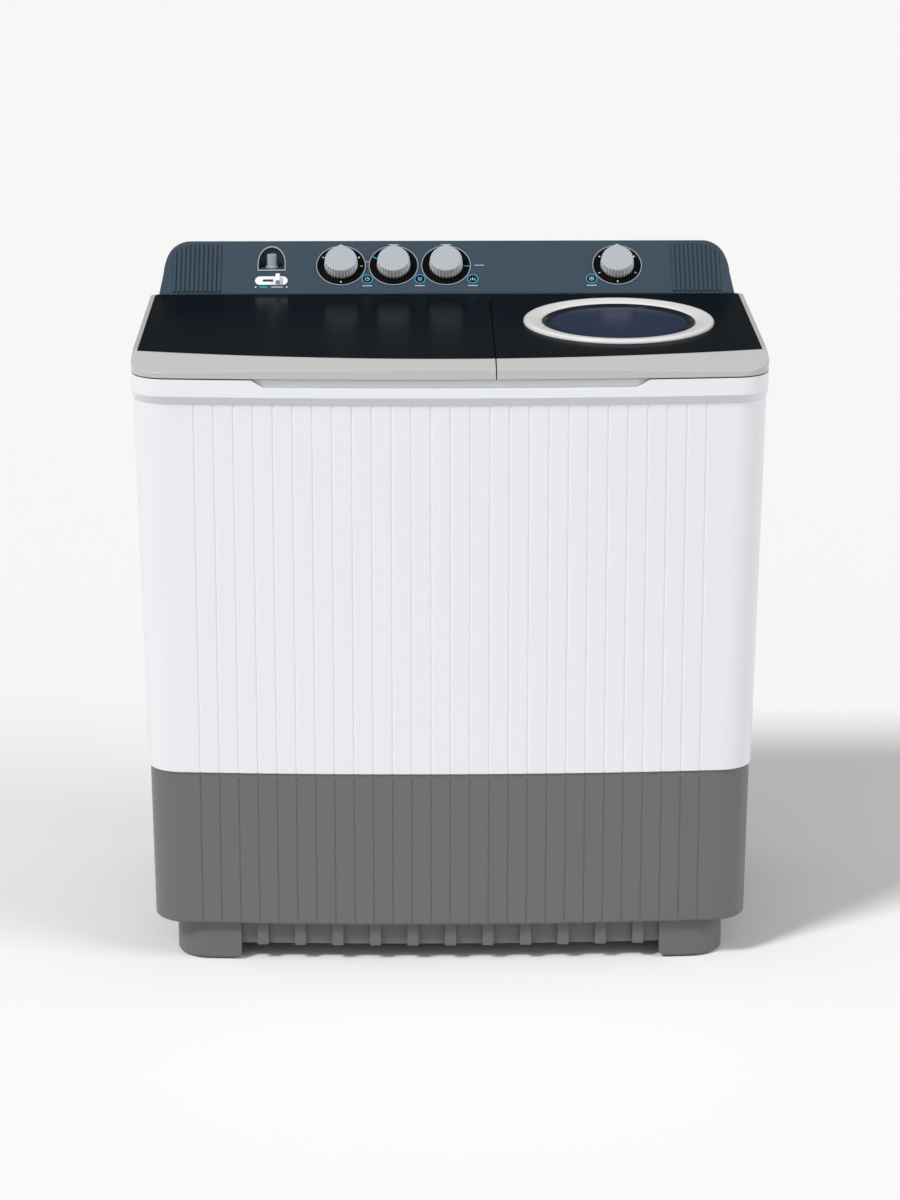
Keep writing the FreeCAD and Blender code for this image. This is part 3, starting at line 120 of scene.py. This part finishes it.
def makeSun(name, turn, height, strength, softness):
    sun = bpy.data.objects.new(name, bpy.data.lights.new(name, "SUN"))
    sun.data.energy = strength
    sun.data.angle = math.radians(softness)
    turn, height = math.radians(turn), math.radians(height)
    towards = Vector((math.sin(turn) * math.cos(height), -math.cos(turn) * math.cos(height), math.sin(height)))
    sun.rotation_mode = "QUATERNION"
    sun.rotation_quaternion = towards.to_track_quat("Z", "Y")
    bpy.context.scene.collection.objects.link(sun)


def fadeBetween(tree, value, ends, low, high):
    return addNode(tree, "ShaderNodeMapRange", {
        "Value": value, "From Min": ends[0], "From Max": ends[1], "To Min": low, "To Max": high},
        interpolation_type="SMOOTHSTEP").outputs["Result"]


def makeStudio():
    makeSun("keySun", *studioLook["key"])
    makeSun("fillSun", *studioLook["fill"])
    world = bpy.data.worlds.new("studioDome")
    bpy.context.scene.world = world
    world.use_nodes = True
    tree = world.node_tree
    tree.nodes.clear()
    place = addNode(tree, "ShaderNodeTexCoord")
    parts = addNode(tree, "ShaderNodeSeparateXYZ", {"Vector": place.outputs["Generated"]})
    level = fadeBetween(tree, parts.outputs["Y"], studioLook["frontFade"], studioLook["front"], studioLook["back"])
    aside = addNode(tree, "ShaderNodeMath", {0: parts.outputs["X"]}, operation="ABSOLUTE")
    level = fadeBetween(tree, aside.outputs[0], studioLook["sidesFade"], level, studioLook["sides"])
    level = fadeBetween(tree, parts.outputs["Z"], studioLook["crownFade"], level, studioLook["crown"])
    sky = addNode(tree, "ShaderNodeBackground", {"Color": hexColour("#FFFFFF"), "Strength": level})
    addNode(tree, "ShaderNodeOutputWorld", {"Surface": sky.outputs["Background"]})

    half = studioLook["floorSize"] / 2
    mesh = bpy.data.meshes.new("floor")
    mesh.from_pydata([(-half, -half, 0), (half, -half, 0), (half, half, 0), (-half, half, 0)], [], [(0, 1, 2, 3)])
    floor = bpy.data.objects.new("floor", mesh)
    bpy.context.scene.collection.objects.link(floor)
    material, tree = newTree("matt paper sweep")
    light = addNode(tree, "ShaderNodeLightPath")       # seen pale, but throws less light back up
    seen = addNode(tree, "ShaderNodeMath", {
        0: light.outputs["Is Camera Ray"], 1: light.outputs["Is Glossy Ray"]}, operation="MAXIMUM")
    seen = addNode(tree, "ShaderNodeMath", {
        0: seen.outputs[0], 1: light.outputs["Is Transmission Ray"]}, operation="MAXIMUM")
    tone = addNode(tree, "ShaderNodeMix", {
        0: seen.outputs[0], 6: hexColour(studioLook["floorBounce"]), 7: hexColour(studioLook["floor"])},
        data_type="RGBA")
    shader = addNode(tree, "ShaderNodeBsdfPrincipled", {
        "Base Color": tone.outputs[2], "Roughness": studioLook["floorRoughness"], "Specular IOR Level": 0.0})
    addNode(tree, "ShaderNodeOutputMaterial", {"Surface": shader.outputs["BSDF"]})
    mesh.materials.append(material)


makeStudio()
print("studio: floor, suns and dome")


# ---- finishes ----
def finish(name, colour, cloud, cloudMm, roughness, spread, grainMm, grainDepth, edgeMm=0.8, metallic=0.0,
           ior=1.5, specular=0.5, alpha=1.0, stretch=(1, 1, 1)):
    # cloud is a second colour that drifts over the surface, in patches cloudMm across, and spread is how far the
    # roughness drifts with it. The grain is the texture that the mould or tool left, grainMm across and grainDepth
    # millimetres deep.
    material, tree = newTree(name)
    place = addNode(tree, "ShaderNodeTexCoord").outputs["Object"]
    drift = addNode(tree, "ShaderNodeTexNoise", {
        "Vector": place, "Scale": perMm(cloudMm), "Detail": 3.0, "Roughness": 0.55})
    tint = addNode(tree, "ShaderNodeMix", {
        0: drift.outputs[0], 6: hexColour(colour), 7: hexColour(cloud)}, data_type="RGBA")
    drawn = addNode(tree, "ShaderNodeMapping", {"Vector": place, "Scale": stretch})
    grain = addNode(tree, "ShaderNodeTexNoise", {
        "Vector": drawn.outputs[0], "Scale": perMm(grainMm), "Detail": 2.0, "Roughness": 0.5})
    rough = addNode(tree, "ShaderNodeMapRange", {
        "Value": drift.outputs[0], "From Min": 0.2, "From Max": 0.8,
        "To Min": max(0.02, roughness - spread), "To Max": roughness + spread})
    edge = addNode(tree, "ShaderNodeBevel", {"Radius": edgeMm / 1000}, samples=6)
    bump = addNode(tree, "ShaderNodeBump", {
        "Strength": 1.0, "Distance": grainDepth / 1000, "Height": grain.outputs[0], "Normal": edge.outputs[0]})
    shader = addNode(tree, "ShaderNodeBsdfPrincipled", {
        "Base Color": tint.outputs[2], "Roughness": rough.outputs["Result"], "Metallic": metallic,
        "Specular IOR Level": specular, "Alpha": alpha, "Normal": bump.outputs[0]})
    if not metallic:
        shader.inputs["IOR"].default_value = ior
    addNode(tree, "ShaderNodeOutputMaterial", {"Surface": shader.outputs[0]})
    return material


# ABS from a polished mould: clean cool white, a soft sheen that gathers at the corners; its fine pigment
# speckle is drawn 2 mm coarse so that it shows
glossWhite = finish("white ABS, polished mould", "#F4F6FA", "#EFF1F5", 2, 0.26, 0.02, 2.2, 0.003, edgeMm=0.4)
# the same ABS round the deck, where the mould's rims are rounder and catch a fine bright line
rimWhite = finish("white ABS, polished rims", "#F4F6FA", "#EFF1F5", 2, 0.22, 0.02, 2.2, 0.003, edgeMm=1.5)
# ABS from a satin mould: light grey, a fine highlight along each rounded crest
satinGrey = finish("light grey ABS, satin mould", "#C7C7C6", "#C0C0BF", 3, 0.20, 0.02, 2.4, 0.004, edgeMm=1.6)
# the same ABS in a paler grey, polished: the spin lid's bright round rim
paleGrey = finish("pale grey ABS, polished mould", "#E4E4E2", "#DFDFDD", 90, 0.24, 0.03, 6.0, 0.004, edgeMm=2.0,
                  specular=0.3)
# polypropylene from a spark grained mould: dry grey, the grain drawn 1.6 mm coarse so that it shows
baseGrey = finish("grey polypropylene, spark grained", "#6E6E6F", "#666768", 3, 0.34, 0.05, 1.6, 0.012, edgeMm=0.6)
# smoked polystyrene, press polished: near black, faintly clear, calm reflections
smokedPanel = finish("smoked polystyrene, press polished", "#070A10", "#0B141B", 220, 0.20, 0.03, 40.0, 0.004,
                     edgeMm=0.5, ior=1.2, specular=0.05, alpha=0.94)
# tinted acrylic, vacuum formed: ink blue, a hint of the drum behind it
blueWindow = finish("blue tinted acrylic, vacuum formed", "#1D2840", "#26324C", 90, 0.24, 0.03, 40.0, 0.004,
                    edgeMm=0.5, ior=1.3, specular=0.2, alpha=0.90)
# ABS from a matt mould: slate blue, dry and even
slateAbs = finish("slate ABS, matt mould", "#394957", "#354553", 90, 0.45, 0.05, 1.8, 0.015, edgeMm=0.6,
                  specular=0.3)
# polycarbonate, satin: deep black that makes the marks stand out
dialBlack = finish("black polycarbonate, satin", "#050506", "#08080A", 30, 0.32, 0.04, 2.0, 0.006, edgeMm=0.3,
                   specular=0.12)
# ABS, satin chrome plated: thin even lines round the dials and the spout's arch
brightTrim = finish("ABS, satin chrome plated", "#AEB5BD", "#A6ADB5", 20, 0.46, 0.04, 3.0, 0.004, edgeMm=0.15,
                    metallic=0.5)
# ABS filled with silver flake: light, faintly pearly
knobSilver = finish("silver flake ABS, fine grained", "#B9BDC4", "#B2B6BD", 9, 0.36, 0.05, 1.2, 0.02, edgeMm=0.3,
                    metallic=0.12)
# the same ABS on the fluted sides, painted paler than the knob's top: painted light for sides that face down into
# shade, with soft highlights
knobSidesPaintedLight = finish("silver flake ABS, sides painted lighter", "#FDFDFE", "#F4F6F8", 9, 0.42, 0.05, 1.2, 0.01, edgeMm=0.2)
# steel, drawn and turned: cool grey with fine rings
turnedSteel = finish("steel, turned", "#9A9B9D", "#8F9092", 25, 0.28, 0.05, 0.9, 0.02, metallic=1.0,
                     stretch=(1, 1, 8))
# stainless sheet, brushed round the drum: fine level lines and a long soft glint
brushedDrum = finish("stainless steel, brushed", "#B9BBBD", "#AEB0B2", 60, 0.27, 0.05, 1.0, 0.02, metallic=1.0,
                     stretch=(0.15, 0.15, 3))
# alloy, pressure die-cast: dull, slightly blotched skin
castAlloy = finish("aluminium alloy, die-cast", "#8F9193", "#808284", 14, 0.46, 0.07, 1.5, 0.06, metallic=1.0)
# rubber, compression moulded: dull black with a dry bloom
rubber = finish("rubber, compression moulded", "#1B1B1C", "#252526", 20, 0.72, 0.06, 1.4, 0.04)
# polypropylene, natural: milky and waxy, soft highlights
tubWhite = finish("natural polypropylene, moulded", "#DCE1E5", "#D3D9DE", 110, 0.36, 0.05, 2.5, 0.015, edgeMm=1.5)
# polypropylene, coloured through: calm blue, waxy
bluePlastic = finish("blue polypropylene, moulded", "#3F6C9E", "#396593", 70, 0.34, 0.05, 2.0, 0.015, edgeMm=1.5)
# enamel, dipped and stoved: black skin on the motor shells with a slight orange peel
motorEnamel = finish("black enamel, stoved", "#1A1A1C", "#212123", 30, 0.38, 0.06, 2.5, 0.05)
# nylon, glass filled: dark, dull and slightly mottled
darkNylon = finish("glass filled nylon, moulded", "#2A2A2C", "#313133", 12, 0.52, 0.06, 1.4, 0.03)
# soft PVC, extruded: its black is painted shade for the shaded throat between ring and window, while its wet
# looking gloss draws real thin lights round the window
sealPaintedShade = finish("black soft PVC, painted shade", "#08090B", "#0B0C0F", 30, 0.18, 0.04, 4.0, 0.01, edgeMm=0.5)
# inks, screen printed: flat and slightly raised
whiteInk = finish("white ink, screen printed", "#D9DCDF", "#CDD1D5", 6, 0.5, 0.05, 1.0, 0.004, edgeMm=0.05)
cyanInk = finish("cyan ink, screen printed", "#18A5D6", "#169BCA", 6, 0.45, 0.05, 1.0, 0.004, edgeMm=0.05)

slotFinishes = {
    "grey_plastic": baseGrey, "white_plastic": glossWhite, "light_grey_plastic": satinGrey,
    "smoked_panel": smokedPanel, "blue_window": blueWindow, "slate_plastic": slateAbs,
    "black_plastic": dialBlack, "bright_trim": brightTrim, "knob_plastic": knobSilver,
    "steel": turnedSteel, "stainless": brushedDrum, "alloy": castAlloy, "rubber": rubber,
    "tub_plastic": tubWhite, "blue_plastic": bluePlastic, "motor_paint": motorEnamel,
    "dark_plastic": darkNylon,
}
nodeFinishes = {"top_frame": rimWhite}      # nodes whose finish differs from the rest of their slot
evenWeight = 90                             # how firmly large faces keep their own direction
for part in frame["record"]["subparts"]:
    for cadSlot in nodes[part["node"]].material_slots:
        cadSlot.material = nodeFinishes.get(part["node"], slotFinishes[part["material_slot"]])
    # large faces keep their true direction, so that the light turns only on the rounded edges
    even = nodes[part["node"]].modifiers.new("evenNormals", "WEIGHTED_NORMAL")
    even.mode = "FACE_AREA"
    even.weight = evenWeight
print("finishes:", len(slotFinishes), "slots dressed")


# ---- places on the sloping panel ----
turnJoints = {j["name"]: j for j in frame["joints"]}
panelIn = Vector(turnJoints["drain_knob_turn"]["axis"])
panelNormal = -panelIn
panelUp = Vector((0, -panelIn.z, panelIn.y))
dialPlaces = {name: Vector(turnJoints[joint]["pos_m"]) for name, joint in (
    ("washTimer", "wash_timer_turn"), ("washMode", "wash_mode_turn"),
    ("drain", "drain_knob_turn"), ("spinTimer", "spin_timer_turn"))}


def onPanel(x, up, out):
    # millimetres across, up the slope from the dials' middle line, and out of the face
    middle = dialPlaces["drain"]
    return Vector((x / 1000, middle.y, middle.z)) + panelUp * (up / 1000) + panelNormal * (out / 1000)


def middleAcross(node):
    # millimetres from the machine's middle to the node's
    low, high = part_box(node)
    return (low.x + high.x) * 500


def addObject(name, mesh, body, materials, smooth=True):
    thing = bpy.data.objects.new(name, mesh)
    bpy.context.scene.collection.objects.link(thing)
    for material in materials:
        mesh.materials.append(material)
    for face in mesh.polygons:
        face.use_smooth = smooth
    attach(thing, body)
    return thing


def meshOf(name, bm):
    bmesh.ops.recalc_face_normals(bm, faces=bm.faces[:])
    mesh = bpy.data.meshes.new(name)
    bm.to_mesh(mesh)
    bm.free()
    return mesh


def raiseShape(bm, outline, low, high):
    # a flat shape on the panel, from low to high off its face
    lower = [bm.verts.new(onPanel(x, up, low)) for x, up in outline]
    upper = [bm.verts.new(onPanel(x, up, high)) for x, up in outline]
    bm.faces.new(upper)
    bm.faces.new(lower[::-1])
    for i, j in zip(range(len(outline)), [*range(1, len(outline)), 0]):
        bm.faces.new((lower[i], lower[j], upper[j], upper[i]))


def raiseRing(bm, x, up, outer, inner, low, high, sides=48):
    loops = [[bm.verts.new(onPanel(*point, out)) for point in disc(x, up, radius, sides)]
             for radius, out in ((outer, low), (outer, high), (inner, high), (inner, low))]
    for a, b in zip(loops, loops[1:] + loops[:1]):
        for i in range(sides):
            j = (i + 1) % sides
            bm.faces.new((a[i], a[j], b[j], b[i]))


def roundEdges(bm, size):
    bmesh.ops.bevel(bm, geom=bm.edges[:], offset=size / 1000, segments=2, affect="EDGES")


def bar(x, up, length, width, turn=0.0):
    c, s = math.cos(math.radians(turn)), math.sin(math.radians(turn))
    ends = [(-length / 2, -width / 2), (length / 2, -width / 2), (length / 2, width / 2), (-length / 2, width / 2)]
    return [(x + a * c - b * s, up + a * s + b * c) for a, b in ends]


def disc(x, up, radius, sides=40):
    turns = [2 * math.pi * i / sides for i in range(sides)]
    return [(x + radius * math.cos(turn), up + radius * math.sin(turn)) for turn in turns]


# ---- pointer knobs ----
knobLook = {
    "skirt": 26.1,              # radius at the foot in millimetres, as are all the sizes here
    "top": 24.2,                # radius at the top face
    "tip": 28.2,                # the pointer's reach
    "low": 1.35,
    "high": 19.2,
    "flutes": 32,
    "fluteDepth": 1.7,
    "fluteEnd": 0.985,          # flutes run out below the top face, over the last twentieth of the height
    "fluteFade": 0.05,
    "noseClear": 0.12,          # and beside the pointer, in radians
    "noseFrom": 0.12,           # the pointer grows out of the round foot, over a quarter of the height
    "noseBlend": 0.25,
    "stepsPerFlute": 8,
    "profile": ((0.0, 0.0), (0.25, 0.0), (0.5, 0.0), (0.7, 0.0), (0.79, 0.0), (0.83, 0.0), (0.87, 0.0), (0.93, 0.0),
                (0.965, -0.25), (0.985, -0.65), (0.997, -1.2), (1.0, -2.2)),    # rise from 0 to 1, then the inset
    "paintedLightLevels": 8,            # bands of the profile, from the foot up, that take the finish painted paler as painted light
}


def between01(value):
    return min(1.0, max(0.0, value))


def knobRadius(angle, rise):
    # angle from the pointer's direction, rise from 0 at the skirt to 1 at the top face
    lean = math.acos(knobLook["top"] / knobLook["tip"])
    body = knobLook["skirt"] + (knobLook["top"] - knobLook["skirt"]) * rise
    nose = body / math.cos(lean - abs(angle)) if abs(angle) < lean else body
    blend = between01((rise - knobLook["noseFrom"]) / knobLook["noseBlend"])
    wave = (0.5 - 0.5 * math.cos(knobLook["flutes"] * angle)) ** 2
    fade = between01((knobLook["fluteEnd"] - rise) / knobLook["fluteFade"])
    fade *= between01((abs(angle) - lean) / knobLook["noseClear"])
    return body + (nose - body) * blend - knobLook["fluteDepth"] * wave * fade


def makeKnob(node, centre):
    bm = bmesh.new()
    count = knobLook["flutes"] * knobLook["stepsPerFlute"]
    span = knobLook["high"] - knobLook["low"]
    rings = []
    for rise, inset in knobLook["profile"]:
        ring = []
        for i in range(count):
            angle = 2 * math.pi * (i + 0.5) / count - math.pi
            radius = knobRadius(angle, rise) + inset
            ring.append(bm.verts.new(onPanel(centre.x * 1000 + radius * math.sin(angle), radius * math.cos(angle),
                                             knobLook["low"] + rise * span)))
        rings.append(ring)
    for level, (lower, upper) in enumerate(zip(rings, rings[1:])):
        for i in range(count):
            j = (i + 1) % count
            side = bm.faces.new((lower[i], lower[j], upper[j], upper[i]))
            # the lower bands take the paler copy of the knob finish, which is painted light
            side.material_index = 1 if level < knobLook["paintedLightLevels"] else 0
    bm.faces.new(rings[-1])
    bm.faces.new(rings[0][::-1])
    name = "fluted_knob_" + node.replace("_knob", "")
    knob = addObject(name, meshOf(name, bm), node, (knobSilver, knobSidesPaintedLight))
    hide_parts(node)


for dial, node in (("washTimer", "wash_timer_knob"), ("washMode", "wash_mode_knob"),
                   ("drain", "drain_knob"), ("spinTimer", "spin_timer_knob")):
    makeKnob(node, dialPlaces[dial])
print("knobs: four fluted pointer knobs")

# ---- printed marks: ticks on the dials, bars that stand for words, small arrows ----
markLook = {
    "plate": 1.0,               # the dial plates' top, millimetres off the panel
    "ink": 0.12,                # thickness of the ticks
    "print": 0.15,              # thickness of the bars and of the signs' black ground
    "whiteTick": (30.0, 33.2, 1.9),     # inner and outer end from the dial's middle, then the width
    "cyanTick": (27.5, 36.0, 2.0),
    "whiteTicks": {"washTimer": (-60, 60, 92, 180), "spinTimer": (-58, 58, 118, 180, 242)},
    "cyanTicks": {"washMode": (-62,), "drain": (92,)},
    "legends": ((-122.5, 8, 14), (-82, 41.5, 16), (-1, 41.5, 16), (50, 1, 14)),     # across, up, length
    "legendWidth": 1.0,
    "selectorUp": -40.5,
    "selectorCyan": (-12, 12, 2.2),     # across from the selector, length, width
    "selectorWhite": (9, 18, 1.4),
    "arrowTip": 26,             # the tips of the arrows at both ends, across from the selector
    "arrowLength": 3,
    "arrowHalf": 1.9,
}
# signs: a picture on a black disc with a cyan rim, and a bar under it
signLook = {
    "up": -25.5,
    "places": {"clock": -122.5, "waves": -41.5, "drain": 39.8, "spin": 222.9},
    "radius": 8.75,
    "rim": 1.5,
    "levels": (0.14, 0.28, 0.3),        # foot of picture and rim, top of the picture, top of the rim
    "legend": (13, 15, 1.2),            # below the sign's middle, length, width
    "rings": {"clock": (3.6, 2.9), "spin": (3.8, 3.1)},
    "bars": {                           # across, up, length, width, turn
        "clock": ((0, 1.1, 0.7, 2.4, 0), (0.9, 0, 1.8, 0.7, 0)),
        "waves": [(side * 1.5, row, 3.3, 0.7, side * 25) for row in (-2.4, 0, 2.4) for side in (-1, 1)],
        "drain": ((0, 1.2, 0.8, 4.2, 0), (-3.4, -1.2, 0.8, 5.6, 0), (3.4, -1.2, 0.8, 5.6, 0)),
        "spin": [(0, 0, 3.8, 0.6, turn) for turn in (0, 60, 120)],
    },
    "arrows": {"drain": ((-1.8, -0.6), (0, -2.8), (1.8, -0.6))},
}


def tick(centreX, turn, inner, outer, width):
    middle, angle = (inner + outer) / 2, math.radians(turn)
    return bar(centreX + middle * math.sin(angle), middle * math.cos(angle), outer - inner, width, 90 - turn)


def makeSign(white, cyan, black, kind, x):
    up, radius = signLook["up"], signLook["radius"]
    low, high, rimHigh = signLook["levels"]
    raiseShape(black, disc(x, up, radius), 0, markLook["print"])
    raiseRing(cyan, x, up, radius, radius - signLook["rim"], low, rimHigh)
    if kind in signLook["rings"]:
        raiseRing(white, x, up, *signLook["rings"][kind], low, high)
    for across, rise, *shape in signLook["bars"][kind]:
        raiseShape(white, bar(x + across, up + rise, *shape), low, high)
    if kind in signLook["arrows"]:
        raiseShape(white, [(x + across, up + rise) for across, rise in signLook["arrows"][kind]], low, high)
    below, length, width = signLook["legend"]
    raiseShape(white, bar(x, up - below, length, width), 0, markLook["print"])


def makeMarks():
    white, cyan, black = bmesh.new(), bmesh.new(), bmesh.new()
    top, thick = markLook["plate"], markLook["print"]
    for ink, colour in ((white, "white"), (cyan, "cyan")):
        for dial, turns in markLook[colour + "Ticks"].items():
            for turn in turns:
                mark = tick(dialPlaces[dial].x * 1000, turn, *markLook[colour + "Tick"])
                raiseShape(ink, mark, top, top + markLook["ink"])
    for kind, x in signLook["places"].items():
        makeSign(white, cyan, black, kind, x)
    for x, up, length in markLook["legends"]:
        raiseShape(white, bar(x, up, length, markLook["legendWidth"]), 0, thick)
    # under the selector: a cyan and a white bar between two small arrows
    selectorX, up = middleAcross("water_inlet_spigot"), markLook["selectorUp"]
    for ink, (across, length, width) in ((cyan, markLook["selectorCyan"]), (white, markLook["selectorWhite"])):
        raiseShape(ink, bar(selectorX + across, up, length, width), 0, thick)
    for side in (-1, 1):
        tip = selectorX + side * markLook["arrowTip"]
        foot, half = tip - side * markLook["arrowLength"], markLook["arrowHalf"]
        raiseShape(white, [(tip, up), (foot, up + half), (foot, up - half)], 0, thick)
    for name, mesh, slot, material in (("white_marks", white, "white_plastic", whiteInk),
                                       ("cyan_marks", cyan, "blue_plastic", cyanInk),
                                       ("sign_discs", black, "black_plastic", dialBlack)):
        addObject(name, meshOf(name, mesh), "root", [material], False)


makeMarks()
print("marks: ticks, signs and bars")

# ---- fine ribs at both ends of the panel ----
ribLook = {
    "first": 350.0,             # millimetres from the middle, as are all the sizes here
    "pitch": 6.9,
    "count": 11,
    "width": 4.1,
    "height": 2.3,
    "corner": 40.0,             # radius of the panel's upper corners, which the ribs' tops follow
    "cornerInset": 5.5,
    "margin": 6.0,              # bare strip above the ribs
    "low": -50.5,
    "edge": 0.3,
}


def makePanelRibs():
    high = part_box("control_panel")[1]
    corner, width, low = ribLook["corner"], ribLook["width"], ribLook["low"]
    straight = high.x * 1000 - ribLook["cornerInset"] - corner
    topUp = (high.z - dialPlaces["drain"].z) * 1000 / panelUp.z
    bm = bmesh.new()
    for i in range(ribLook["count"]):
        x = ribLook["first"] + i * ribLook["pitch"]
        past = max(0.0, x + width / 2 - straight)
        drop = (corner - math.sqrt(max(0.0, corner ** 2 - past ** 2))) / panelUp.z
        length = topUp - drop - ribLook["margin"] - low
        for side in (-1, 1):
            raiseShape(bm, bar(side * x, low + length / 2, width, length), 0, ribLook["height"])
    roundEdges(bm, ribLook["edge"])
    addObject("panel_end_ribs", meshOf("panel_end_ribs", bm), "root", [slateAbs], False)


makePanelRibs()
print("panel ribs: both ends")

# ---- domed window, its seal painted black as painted shade, and the rounded ring that holds them on the spin lid ----
windowLook = {
    "tilt": 1.264,              # the lids' slope in degrees
    "radius": 104.0,            # millimetres, as are the sizes below
    "rim": -0.6,                # heights are from the lid's dark face
    "rise": 5.0,
    "thickness": 2.4,
    "rings": 14,
    "sides": 128,
    # profiles of the ring and the seal: radius, then height
    "ring": ((141.8, -1.0), (141.8, 1.2), (141.5, 2.6), (140.6, 4.0), (139.2, 5.0), (137.2, 5.6), (134.8, 5.7),
             (131.5, 5.4), (127.5, 4.9), (123.0, 4.3), (119.0, 3.6), (116.4, 2.8), (114.6, 1.6), (113.8, 0.2),
             (113.6, -1.0)),
    "seal": ((113.3, 1.6), (112.3, 2.0), (111.2, 1.4), (109.6, -1.4), (107.6, -2.6), (105.8, -1.8), (104.9, -0.4),
             (104.4, -0.6), (104.3, -3.2), (106.0, -7.0), (113.3, -7.0)),
}
lidTilt = math.radians(windowLook["tilt"])
lidTurn = Matrix.Rotation(lidTilt, 3, "X")
ringLow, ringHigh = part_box("spin_lid_ring")
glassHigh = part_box("spin_lid_glass")[1]
lidMiddle = (ringLow + ringHigh) / 2
lidMiddle.z = glassHigh.z - math.tan(lidTilt) * (glassHigh.y - lidMiddle.y)


def onSpinLid(radius, turn, height):
    flat = Vector((radius * math.cos(turn), radius * math.sin(turn), height)) / 1000
    return lidMiddle + lidTurn @ flat


def lathe(bm, profile, closed):
    # turns a profile of (radius, height) pairs about the window's middle
    sides = windowLook["sides"]
    rings = []
    for radius, height in profile:
        turns = [2 * math.pi * i / sides for i in range(sides)] if radius > 0 else [0.0]
        rings.append([bm.verts.new(onSpinLid(radius, turn, height)) for turn in turns])
    for a, b in zip(rings, rings[1:] + (rings[:1] if closed else [])):
        for i in range(sides):
            j = (i + 1) % sides
            corners = [a[i % len(a)], a[j % len(a)], b[j % len(b)], b[i % len(b)]]
            bm.faces.new(list(dict.fromkeys(corners)))


def makeWindow():
    radius, rim, rise = windowLook["radius"], windowLook["rim"], windowLook["rise"]
    steps = [i / windowLook["rings"] for i in range(windowLook["rings"] + 1)]
    dome = [(radius * t, rim + rise * (1 - t ** 2)) for t in steps]
    under = [(r, height - windowLook["thickness"]) for r, height in reversed(dome)]
    bm = bmesh.new()
    lathe(bm, dome + under, False)
    window = addObject("domed_window", meshOf("domed_window", bm), "spin_lid", [blueWindow])
    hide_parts("spin_lid_window")
    bm = bmesh.new()
    lathe(bm, windowLook["ring"], True)
    ring = addObject("rounded_ring", meshOf("rounded_ring", bm), "spin_lid", [paleGrey])
    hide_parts("spin_lid_ring")
    bm = bmesh.new()
    # the seal fills the ring's throat: its black is painted shade, its gloss reflects real light
    lathe(bm, windowLook["seal"], True)
    addObject("window_seal_painted_shade", meshOf("window_seal_painted_shade", bm), "spin_lid", [sealPaintedShade])


makeWindow()
print("window: dome, seal and ring")

# ---- shutter behind the selector's slot ----
shutterLook = {
    "wall": 3.0,                # the panel's own thickness in millimetres, as are all the sizes here
    "gap": 0.5,
    "thickness": 0.8,
    "length": 46.0,
    "height": 9.0,
    "leverGap": 5.0,            # left open for the lever's neck
    "edge": 0.2,
}


def makeShutter():
    # a white strip that slides behind the panel with the lever and closes the slot on both sides of it
    low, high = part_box("selector_plate")
    middle = (low + high) / 2
    up = (middle - dialPlaces["drain"]).dot(panelUp) * 1000
    x = middleAcross("water_selector_lever")
    outer = -shutterLook["wall"] - shutterLook["gap"]
    bm = bmesh.new()
    for side in (-1, 1):
        strip = (shutterLook["length"] - shutterLook["leverGap"]) / 2
        middleX = x + side * (shutterLook["leverGap"] + strip) / 2
        raiseShape(bm, bar(middleX, up, strip, shutterLook["height"]), outer - shutterLook["thickness"], outer)
    roundEdges(bm, shutterLook["edge"])
    addObject("slot_shutter", meshOf("slot_shutter", bm), "water_selector", [glossWhite], False)


makeShutter()
print("shutter: behind the selector's slot")
